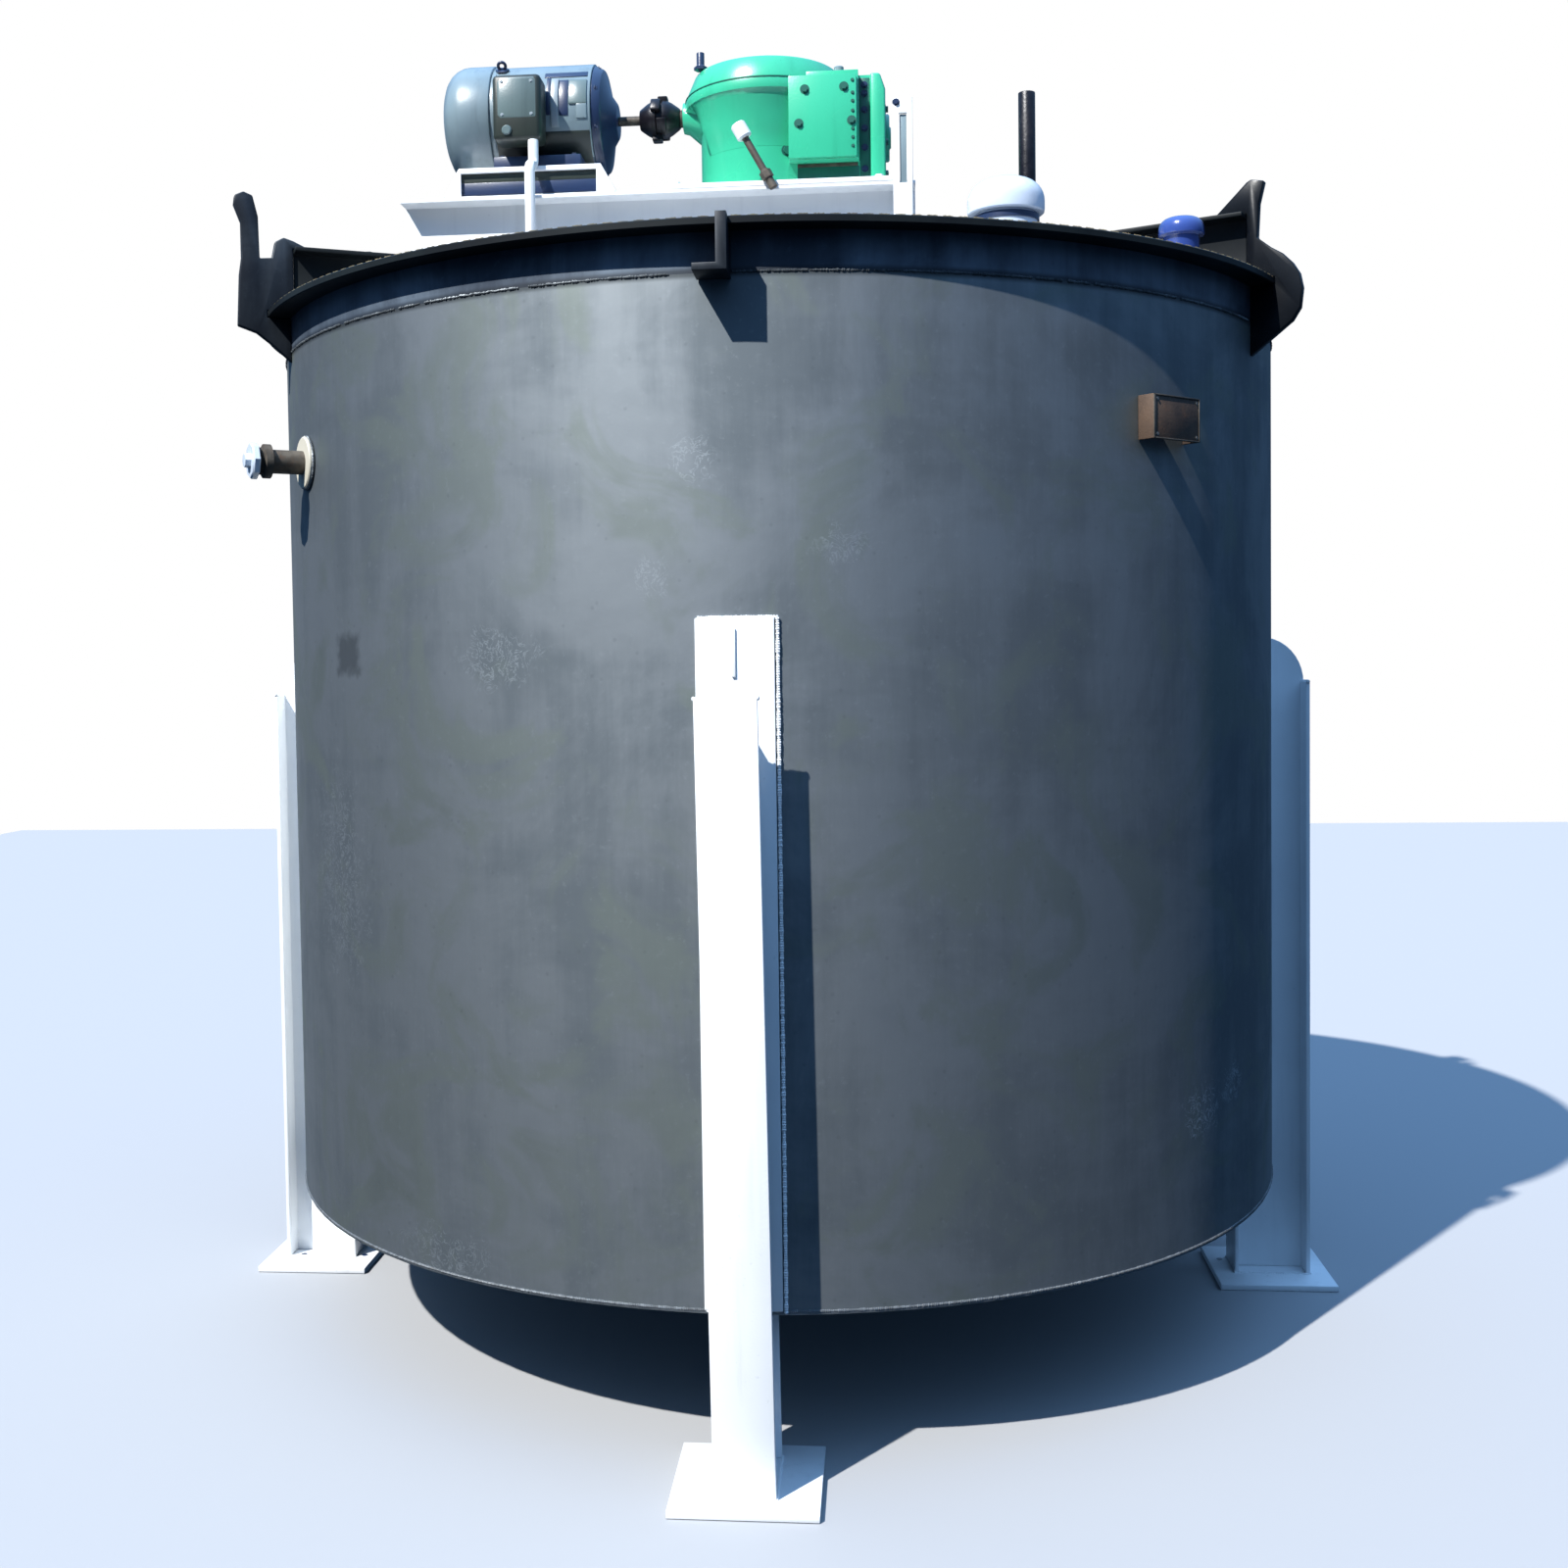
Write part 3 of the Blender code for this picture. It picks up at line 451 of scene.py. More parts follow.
@dataclass(frozen=True)
class ScaledMetal(Finish):
    """Bare or dipped metal with spangle, stains and rust where it is left bare."""

    rust: float = 0.0
    scale: float = 60.0
    spangle: float = 1.0
    pit_depth: float = 0.0012

    def paint(self, tree: Shading) -> None:
        """Lay crystals or scale, then rust in the hollows.

        Args:
            tree: the material's tree.
        """
        cloud = tree.noise(METAL_CLOUDS)
        mottle = tree.weighed(
            (tree.window(tree.spots(self.scale), 0.15, 0.7), self.spangle),
            (tree.window(cloud, 0.35, 0.65), 1.0 - self.spangle))
        stain = tree.window(
            tree.noise(METAL_STAINS), 0.62 - 0.3 * self.rust, 0.72, 0.0,
            min(1.0, 0.15 + self.rust))
        tree.finish(
            Base_Color=tree.mix(
                stain, tree.mix(mottle, self.colour, self.shade), RUST_BROWN),
            Roughness=tree.window(
                cloud, 0.3, 0.75, self.roughness - 0.08, self.roughness + 0.12),
            Metallic=self.metallic)
        tree.relief(tree.noise(METAL_PITS), self.pit_depth, 0.5)


JACKET = MillSteel(
    "jacket_mill_steel", "jacket_steel", (0.275, 0.302, 0.320), (0.158, 0.183, 0.200),
    0.57, 0.92, tint=(0.205, 0.240, 0.212), seam=2.4525, marks=(
        Mark(-45.8, 2.4, 1.706, 0.046, 0.55),
        Mark(-24.0, 4.5, 1.690, 0.060, 0.30, True),
        Mark(-4.0, 2.2, 2.087, 0.050, 0.30, True),
        Mark(-7.7, 1.5, 1.848, 0.045, 0.25, True),
        Mark(9.6, 2.6, 1.909, 0.040, 0.28, True),
        Mark(-49.0, 6.0, 1.200, 0.220, 0.25, True),
        Mark(50.0, 3.0, 0.655, 0.060, 0.75, True),
        Mark(56.5, 2.4, 0.690, 0.045, 0.60, True),
        Mark(-32.0, 7.0, 0.400, 0.050, 0.30, True)))
VESSEL = MillSteel(
    "vessel_plate", "jacket_steel", (0.36, 0.37, 0.38), (0.24, 0.25, 0.26), 0.50, 0.3)
RIM = MillSteel(
    "rim_dark_steel", "rim_steel", (0.012, 0.016, 0.017), (0.005, 0.007, 0.009), 0.45, 0.0,
    gloss=0.18)
COLLAR = MillSteel(
    "collar_blue_steel", "rim_steel", (0.140, 0.180, 0.230), (0.028, 0.040, 0.062),
    0.50, 0.30, seam=2.4535)
EAR = MillSteel(
    "ear_grey_steel", "rim_steel", (0.042, 0.052, 0.062), (0.008, 0.011, 0.017),
    0.42, 0.20, lumps=0.0064, gloss=0.30)
EAR_BLACK = MillSteel(
    "ear_black_steel", "rim_steel", (0.010, 0.012, 0.015), (0.003, 0.004, 0.006),
    0.24, 0.0, lumps=0.0064, gloss=0.30)
SEAM = ScaledMetal(
    "seam_bead", "jacket_steel", (0.170, 0.190, 0.205), (0.050, 0.060, 0.070),
    0.55, 0.6, rust=0.10, scale=70.0, spangle=0.3)
WHITE = Enamel(
    "frame_white_paint", "white_paint", (0.84, 0.86, 0.87), (0.62, 0.65, 0.69),
    0.42, dirt=0.22)
GREEN = Enamel(
    "gearbox_green_enamel", "gearbox_green", (0.043, 0.480, 0.275), (0.016, 0.320, 0.175),
    0.30, dirt=0.28, peel=160.0, coat=0.5)
# Dark green enamel of the side cover's bolts, the drum plug and the dome's gasket; the same
# colour is also painted shade on the gearbox's undercut foot and in its neck groove.
DARK_GREEN = Enamel(
    "dark_green_and_painted_recess_shade", "gearbox_green", (0.010, 0.110, 0.080), (0.005, 0.050, 0.045),
    0.45, dirt=0.4)
BLUE = Enamel(
    "motor_blue_enamel", "motor_blue_grey", (0.215, 0.290, 0.320), (0.075, 0.110, 0.140),
    0.32, dirt=0.40, peel=170.0, coat=0.55)
LID = Enamel(
    "motor_lid_enamel", "motor_blue_grey", (0.130, 0.185, 0.185), (0.050, 0.075, 0.080),
    0.30, dirt=0.40, peel=170.0, coat=0.55)
SILVER = Enamel(
    "motor_pale_plate", "motor_blue_grey", (0.300, 0.360, 0.390), (0.130, 0.165, 0.195),
    0.35, dirt=0.35, coat=0.4)
# Dark blue enamel of the breather, bolts, end bell, grille, lifting eye and barrel's top strip;
# the same colour is also laid as painted shade in the motor's slots, on the barrel's lower side,
# behind the stand's windows, in the weep holes and under the cover nozzle's cap.
NAVY = Enamel(
    "dark_blue_enamel_and_painted_shade", "motor_blue_grey", (0.015, 0.030, 0.080), (0.006, 0.010, 0.032),
    0.36, dirt=0.3, coat=0.4)
# Painted shade: dark olive laid under the motor's barrel, on the conduit box's body and on the
# rails behind the stand's windows, where shade falls.
OLIVE = Enamel(
    "olive_painted_shade", "motor_blue_grey", (0.026, 0.036, 0.029), (0.009, 0.012, 0.011),
    0.45, dirt=0.5, coat=0.1)
BLACK = ScaledMetal(
    "shaft_black_steel", "black_steel", (0.010, 0.009, 0.013), (0.005, 0.004, 0.007),
    0.34, 0.2, rust=0.02)
RUST = ScaledMetal(
    "name_plate_rust", "rusty_steel", (0.110, 0.068, 0.044), (0.045, 0.030, 0.024),
    0.70, 0.15, rust=0.5, scale=22.0, spangle=0.2)
BROWN = ScaledMetal(
    "brown_scaled_steel", "rusty_steel", (0.150, 0.130, 0.105), (0.050, 0.042, 0.034),
    0.60, 0.4, rust=0.3, scale=40.0, spangle=0.4)
STITCH = ScaledMetal(
    "stitch_weld_brown", "rusty_steel", (0.230, 0.190, 0.090), (0.090, 0.070, 0.035),
    0.65, 0.4, rust=0.4, scale=90.0, spangle=0.5)
ZINC = ScaledMetal(
    "pipe_galvanised", "galvanised_pipe", (0.300, 0.300, 0.290), (0.160, 0.160, 0.150),
    0.42, 0.75, rust=0.20, spangle=0.6)
BEIGE = Enamel(
    "nozzle_pad_beige", "galvanised_pipe", (0.560, 0.530, 0.440), (0.360, 0.320, 0.240),
    0.55, dirt=0.5, coat=0.0)
WELD = ScaledMetal(
    "weld_bead", "jacket_steel", (0.360, 0.385, 0.400), (0.160, 0.170, 0.180),
    0.45, 0.7, rust=0.10, scale=90.0, spangle=0.5)
PALE = Enamel(
    "cap_pale_enamel", "pale_cap", (0.640, 0.720, 0.820), (0.280, 0.370, 0.560),
    0.28, dirt=0.35, coat=0.5)
CAP_BLUE = Enamel(
    "fill_cap_blue_enamel", "pale_cap", (0.035, 0.070, 0.280), (0.010, 0.020, 0.090),
    0.22, dirt=0.40, coat=0.7)


# Meshes


def linked(name: str, data: bpy.types.ID) -> bpy.types.Object:
    """Put data in the scene as an object.

    Args:
        name: the object's name.
        data: its mesh, camera or light.

    Returns:
        The new object.
    """
    made = bpy.data.objects.new(name, data)
    bpy.context.scene.collection.objects.link(made)
    return made


def applied(holder: bpy.types.Object) -> bpy.types.Mesh:
    """Keep what an object's modifier makes, and remove the object.

    Args:
        holder: object with a modifier.

    Returns:
        The result as a plain mesh.
    """
    graph = bpy.context.evaluated_depsgraph_get()
    made = bpy.data.meshes.new_from_object(holder.evaluated_get(graph))
    bpy.data.objects.remove(holder)
    return made


def new_piece(name: str, mesh: bpy.types.Mesh, finish: Finish,
              body: Body = Body.TANK, replaces: tuple[str, ...] = ()) -> bpy.types.Object:
    """Put a finished mesh in the scene as a piece.

    Args:
        name: the piece's name.
        mesh: its mesh, already in place.
        finish: what it is finished in.
        body: the body that it rides on.
        replaces: nodes of the frame that it stands for.

    Returns:
        The new object.
    """
    piece = linked(name, mesh)
    mesh.materials.clear()
    mesh.materials.append(finish.material())
    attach(piece, body.value)
    if replaces:
        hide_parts(*replaces)
    LOG.info("%s: %d faces, %s", name, len(mesh.polygons), finish.name)
    return piece


def shaded(mesh: bpy.types.Mesh, angle: float = 40.0) -> bpy.types.Mesh:
    """Shade a mesh smooth except at its sharp edges.

    Args:
        mesh: what to shade.
        angle: edges sharper than this stay sharp, in degrees.

    Returns:
        The same mesh.
    """
    mesh.shade_smooth()
    mesh.set_sharp_from_angle(angle=math.radians(angle))
    return mesh


def released(bm: bmesh.types.BMesh, name: str) -> bpy.types.Mesh:
    """Store a bmesh as it is, and free it.

    Args:
        bm: what to store.
        name: the mesh's name.

    Returns:
        The new mesh.
    """
    mesh = bpy.data.meshes.new(name)
    bm.to_mesh(mesh)
    bm.free()
    return mesh


def stored(bm: bmesh.types.BMesh, name: str, angle: float = 35.0) -> bpy.types.Mesh:
    """Weld, orient and store a bmesh.

    Args:
        bm: what to store; it is freed.
        name: the mesh's name.
        angle: edges sharper than this stay sharp, in degrees.

    Returns:
        The new mesh.
    """
    bmesh.ops.remove_doubles(bm, verts=bm.verts, dist=MERGE)
    bmesh.ops.recalc_face_normals(bm, faces=bm.faces)
    return shaded(released(bm, name), angle)


def bevelled(mesh: bpy.types.Mesh, width: float, segments: int = 2,
             angle: float = 32.0) -> bpy.types.Mesh:
    """Round a mesh's sharp edges.

    Args:
        mesh: what to round; it is left as it is.
        width: width of the rounding in metres.
        segments: faces across it.
        angle: edges sharper than this are rounded, in degrees.

    Returns:
        A rounded copy.
    """
    holder = linked("bevelling", mesh)
    edge = holder.modifiers.new("edges", "BEVEL")
    edge.width = width
    edge.segments = segments
    edge.limit_method = "ANGLE"
    edge.angle_limit = math.radians(angle)
    return shaded(applied(holder), 50.0)


def node_mesh(node: str, flat_angle: float = 0.5) -> bpy.types.Mesh:
    """Copy a frame node's mesh, merged and with its flat faces joined.

    Args:
        node: the node's name.
        flat_angle: faces this flat to each other are joined, in degrees.

    Returns:
        The new mesh.
    """
    bm = bmesh.new()
    bm.from_mesh(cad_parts[node].data)
    bmesh.ops.remove_doubles(bm, verts=bm.verts, dist=MERGE)
    bmesh.ops.dissolve_limit(
        bm, angle_limit=math.radians(flat_angle), verts=bm.verts, edges=bm.edges)
    return released(bm, node + "_dressed")


def soften(finish: Finish, width: float, *nodes: str) -> list[bpy.types.Object]:
    """Stand rounded copies in for nodes whose shape is already right.

    Args:
        finish: what the copies are finished in.
        width: width of their rounded edges in metres.
        *nodes: the nodes' names.

    Returns:
        The new objects.
    """
    return [new_piece(node + "_dressed", bevelled(node_mesh(node), width), finish,
                      replaces=(node,)) for node in nodes]


def joined(name: str, parts: list[bpy.types.Mesh]) -> bpy.types.Mesh:
    """Gather meshes in one.

    Args:
        name: the new mesh's name.
        parts: meshes to gather.

    Returns:
        The new mesh.
    """
    bm = bmesh.new()
    for part in parts:
        bm.from_mesh(part)
    return shaded(released(bm, name))


def seat(point: Point, axis: Point) -> Matrix:
    """Return the matrix that stands +Z along an axis at a point."""
    turn = Vector(axis).to_track_quat("Z", "Y").to_matrix().to_4x4()
    return Matrix.Translation(Vector(point)) @ turn


def lofted(name: str, rings: list[list[Point]], looped: bool = False,
           angle: float = 35.0) -> bpy.types.Mesh:
    """Join closed rings of points by faces.

    Args:
        name: the mesh's name.
        rings: rings of as many points each.
        looped: whether the last ring joins the first, or else both are capped.
        angle: edges sharper than this stay sharp, in degrees.

    Returns:
        The new mesh.
    """
    bm = bmesh.new()
    loops = [[bm.verts.new(point) for point in ring] for ring in rings]
    following = loops[1:] + ([loops[0]] if looped else [])
    for first, second in zip(loops, following):
        for k in range(len(first)):
            j = (k + 1) % len(first)
            bm.faces.new((first[k], first[j], second[j], second[k]))
    if not looped:
        bm.faces.new(loops[0])
        bm.faces.new(loops[-1])
    return stored(bm, name, angle)


def turned(name: str, profile: Outline, sides: int = 128, closed: bool = True,
           place: Matrix | None = None) -> bpy.types.Mesh:
    """Spin a profile about Z, then put it in place.

    Args:
        name: the mesh's name.
        profile: points of (radius, height).
        sides: faces round the axis.
        closed: whether the profile's ends join.
        place: where the spun mesh goes, or None to leave it.

    Returns:
        The new mesh.
    """
    bm = bmesh.new()
    points = [bm.verts.new((r, 0.0, z)) for r, z in profile]
    edges = [bm.edges.new(pair) for pair in zip(points, points[1:])]
    if closed:
        edges.append(bm.edges.new((points[-1], points[0])))
    bmesh.ops.spin(bm, geom=points + edges, cent=(0, 0, 0), axis=(0, 0, 1),
                   angle=math.tau, steps=sides, use_merge=True)
    if place is not None:
        bmesh.ops.transform(bm, matrix=place, verts=bm.verts)
    return stored(bm, name)


def stub(name: str, radius: float, length: float, place: Matrix, edge: float = 0.0012,
         sides: int = 40) -> bpy.types.Mesh:
    """Make a short cylinder with rounded edges.

    Args:
        name: the mesh's name.
        radius: its radius.
        length: its length along the place's Z.
        place: where its foot stands.
        edge: width of the rounding.
        sides: faces round it.

    Returns:
        The new mesh.
    """
    return turned(name, [
        (0, 0), (radius - edge, 0), (radius, edge), (radius, length - edge),
        (radius - edge, length), (0, length)], sides, False, place)


def prism(name: str, outline: Outline, depth: float, place: Matrix, edge: float = 0.001
          ) -> bpy.types.Mesh:
    """Extrude an outline along +Z, round it and put it in place.

    Args:
        name: the mesh's name.
        outline: points of (x, y).
        depth: how far it is extruded.
        place: where its foot stands.
        edge: width of its rounded edges.

    Returns:
        The new mesh.
    """
    bm = bmesh.new()
    face = bm.faces.new([bm.verts.new((x, y, 0.0)) for x, y in outline])
    grown = bmesh.ops.extrude_face_region(bm, geom=[face])
    moved = [v for v in grown["geom"] if isinstance(v, bmesh.types.BMVert)]
    bmesh.ops.translate(bm, vec=(0, 0, depth), verts=moved)
    bmesh.ops.transform(bm, matrix=place, verts=bm.verts)
    return bevelled(stored(bm, name), edge)


def block(name: str, low: Point, high: Point, edge: float = 0.001) -> bpy.types.Mesh:
    """Make a box between two corners with rounded edges.

    Args:
        name: the mesh's name.
        low: its lower corner.
        high: its upper corner.
        edge: width of its rounded edges.

    Returns:
        The new mesh.
    """
    outline = [(low[0], low[1]), (high[0], low[1]), (high[0], high[1]), (low[0], high[1])]
    return prism(name, outline, high[2] - low[2], Matrix.Translation((0, 0, low[2])), edge)


def arc(middle: Pair, radii: Pair, start: float, end: float, steps: int) -> Outline:
    """List points on an ellipse.

    Args:
        middle: its centre.
        radii: its two radii.
        start: first angle in degrees from the first axis.
        end: last angle.
        steps: spaces between the points.

    Returns:
        The points.
    """
    turns = [math.radians(start + (end - start) * k / steps) for k in range(steps + 1)]
    return [(middle[0] + radii[0] * math.cos(t), middle[1] + radii[1] * math.sin(t))
            for t in turns]


def on_shell(radius: float, degrees: float, height: float) -> Vector:
    """Return a point at a radius, an angle from the front, and a height."""
    turn = math.radians(degrees)
    return Vector((radius * math.sin(turn), -radius * math.cos(turn), height))


def beside(degrees: float, across: float, reach: float, height: float) -> Vector:
    """Return a point given across and out from the tank, turned round it."""
    return Matrix.Rotation(math.radians(degrees), 4, "Z") @ Vector((across, -reach, height))


def both_sides(xs: tuple[float, ...], y: float, z: float) -> list[tuple[Vector, Vector]]:
    """List upright bolts in rows in front of the middle and behind it.

    Args:
        xs: places along the rows.
        y: distance of a row from the middle.
        z: height of the seats.

    Returns:
        Pairs of a seat and the way up.
    """
    return [(Vector((x, side * y, z)), UP) for x in xs for side in (-1, 1)]


# Geometry Nodes


class Repeat(NodeTree):
    """A geometry tree with named inputs, run once and kept as a plain mesh."""

    def __init__(self, name: str, *sizes: str) -> None:
        """Start a tree.

        Args:
            name: the tree's name.
            *sizes: names of its inputs that are lengths or shares.
        """
        super().__init__(bpy.data.node_groups.new(name, "GeometryNodeTree"))
        kinds = {"Geometry": "Geometry", **dict.fromkeys(sizes, "Float"),
                 "Seed": "Int", "Finish": "Material"}
        self.sockets = {
            label: self.tree.interface.new_socket(
                label, in_out="INPUT", socket_type="NodeSocket" + kind).identifier
            for label, kind in kinds.items()}
        self.tree.interface.new_socket(
            "Geometry", in_out="OUTPUT", socket_type="NodeSocketGeometry")
        self.start = self.node("NodeGroupInput").outputs
        self.end = self.node("NodeGroupOutput")

    def place(self, points: Socket, item: Socket, axis: Socket, towards: str,
              **more: Socket) -> None:
        """Stand an item on each point, then end in Realize Instances and Set Material.

        Args:
            points: where the items go.
            item: what is repeated.
            axis: direction to turn each item to.
            towards: axis of the item that is turned to it.
            **more: other inputs of the instances.
        """
        turn = self.node("FunctionNodeAlignRotationToVector", {"Vector": axis}, axis=towards)
        stood = self.node("GeometryNodeInstanceOnPoints", {
            "Points": points, "Instance": item, "Rotation": turn.outputs[0], **more})
        real = self.node("GeometryNodeRealizeInstances", {"Geometry": stood.outputs[0]})
        dressed = self.node("GeometryNodeSetMaterial", {
            "Geometry": real.outputs[0], "Material": self.start["Finish"]})
        self.feed(self.end.inputs[0], dressed.outputs[0])

    def run(self, name: str, start: bpy.types.Mesh, finish: Finish,
            inputs: dict[str, float]) -> bpy.types.Object:
        """Run the tree on a mesh and keep the result.

        Args:
            name: the piece's name.
            start: mesh that the tree starts from.
            finish: finish of the result.
            inputs: values of the tree's inputs by name.

        Returns:
            The new piece, with a plain mesh.
        """
        holder = linked(name + "_start", start)
        run = holder.modifiers.new("repeat", "NODES")
        run.node_group = self.tree
        for label, value in {"Finish": finish.material(), **inputs}.items():
            run[self.sockets[label]] = value
        return new_piece(name, shaded(applied(holder)), finish)


def fastener_tree(head: Head) -> Repeat:
    """Build a tree that stands a washer and a head on each point along its axis.

    Args:
        head: kind of head.

    Returns:
        The tree, with inputs for the head's radius and height.
    """
    made = Repeat("fasteners_" + head.name.lower(), "Head Radius", "Head Height")
    radius, height = made.start["Head Radius"], made.start["Head Height"]
    lift = made.node("ShaderNodeCombineXYZ", {"Z": made.math("MULTIPLY", height, 0.5)})
    top = made.node("GeometryNodeMeshCylinder", {
        "Vertices": head.value, "Radius": radius, "Depth": height})
    raised = made.node("GeometryNodeTransform", {
        "Geometry": top.outputs["Mesh"], "Translation": lift.outputs[0]})
    washer = made.node("GeometryNodeMeshCylinder", {
        "Vertices": 20, "Radius": made.math("MULTIPLY", radius, 1.45),
        "Depth": made.math("MULTIPLY", height, 0.24)})
    both = made.node("GeometryNodeJoinGeometry")
    made.feed(both.inputs[0], washer.outputs["Mesh"])
    made.feed(both.inputs[0], raised.outputs[0])
    axis = made.node("GeometryNodeInputNamedAttribute", {"Name": "axis"},
                     data_type="FLOAT_VECTOR")
    made.place(made.start["Geometry"], both.outputs[0], axis.outputs["Attribute"], "Z")
    return made


def weld_tree() -> Repeat:
    """Build a tree that lays overlapping ripples along a path.

    Returns:
        The tree, with inputs for spacing, bead radius, flatness and spread.
    """
    made = Repeat("weld_ripples", "Spacing", "Bead Radius", "Flatness", "Spread")
    start = made.start
    path = made.node("GeometryNodeMeshToCurve", {"Mesh": start["Geometry"]})
    even = made.node("GeometryNodeResampleCurve", {
        "Curve": path.outputs[0], "Length": start["Spacing"]}, mode="LENGTH")
    ripple = made.node("GeometryNodeMeshUVSphere", {
        "Segments": 7, "Rings": 4, "Radius": start["Bead Radius"]})
    squash = made.node("ShaderNodeCombineXYZ", {
        "X": start["Flatness"], "Y": 1.0, "Z": 1.0})
    shaped = made.node("GeometryNodeTransform", {
        "Geometry": ripple.outputs["Mesh"], "Scale": squash.outputs[0]})
    size = made.node("FunctionNodeRandomValue", {
        "Min": made.math("SUBTRACT", 1.0, start["Spread"]),
        "Max": made.math("ADD", 1.0, start["Spread"]), "Seed": start["Seed"]},
        data_type="FLOAT")
    tangent = made.node("GeometryNodeInputTangent")
    made.place(even.outputs[0], shaped.outputs[0], tangent.outputs[0], "X",
               Scale=next(s for s in size.outputs if s.enabled))
    return made


class Hardware:
    """The repeat trees, and short ways to lay bolts and welds with them."""

    def __init__(self) -> None:
        """Build each tree once."""
        self.heads = {head: fastener_tree(head) for head in Head}
        self.welds = weld_tree()
        self.seed = 11

    def bolts(self, name: str, places: list[tuple[Vector, Vector]], size: Bolt,
              finish: Finish, head: Head = Head.HEX) -> None:
        """Lay fasteners.

        Args:
            name: the piece's name.
            places: pairs of a seat and the direction that the head stands in.
            size: size of the head.
            finish: finish of the heads.
            head: kind of head.
        """
        mesh = bpy.data.meshes.new(name + "_points")
        mesh.from_pydata([tuple(foot) for foot, _ in places], [], [])
        axis = mesh.attributes.new("axis", "FLOAT_VECTOR", "POINT")
        axis.data.foreach_set("vector", [c for _, up in places for c in up])
        radius, height = size.value
        self.heads[head].run(name, mesh, finish, {
            "Head Radius": radius, "Head Height": height})

    def weld(self, name: str, paths: list[list[Vector]], radius: float, finish: Finish,
             closed: bool = False, spread: float = 0.18) -> None:
        """Lay weld beads.

        Args:
            name: the piece's name.
            paths: lines of points that the beads follow.
            radius: radius of a bead.
            finish: finish of the beads.
            closed: whether each path's ends join.
            spread: how uneven the ripples are.
        """
        points, edges = [], []
        for path in paths:
            start, end = len(points), len(points) + len(path)
            points += [tuple(point) for point in path]
            edges += [(k, k + 1) for k in range(start, end - 1)]
            if closed:
                edges.append((end - 1, start))
        mesh = bpy.data.meshes.new(name + "_path")
        mesh.from_pydata(points, edges, [])
        self.seed += 1
        self.welds.run(name, mesh, finish, {
            "Spacing": radius * 1.1, "Bead Radius": radius, "Flatness": 0.8,
            "Spread": spread, "Seed": self.seed})


# Sub-assemblies


@dataclass
class Assembly:
    """A sub-assembly, with the hardware that it is fastened and welded by."""

    kit: Hardware

    def build(self) -> None:
        """Make the pieces; each sub-assembly has its own way."""
        raise NotImplementedError


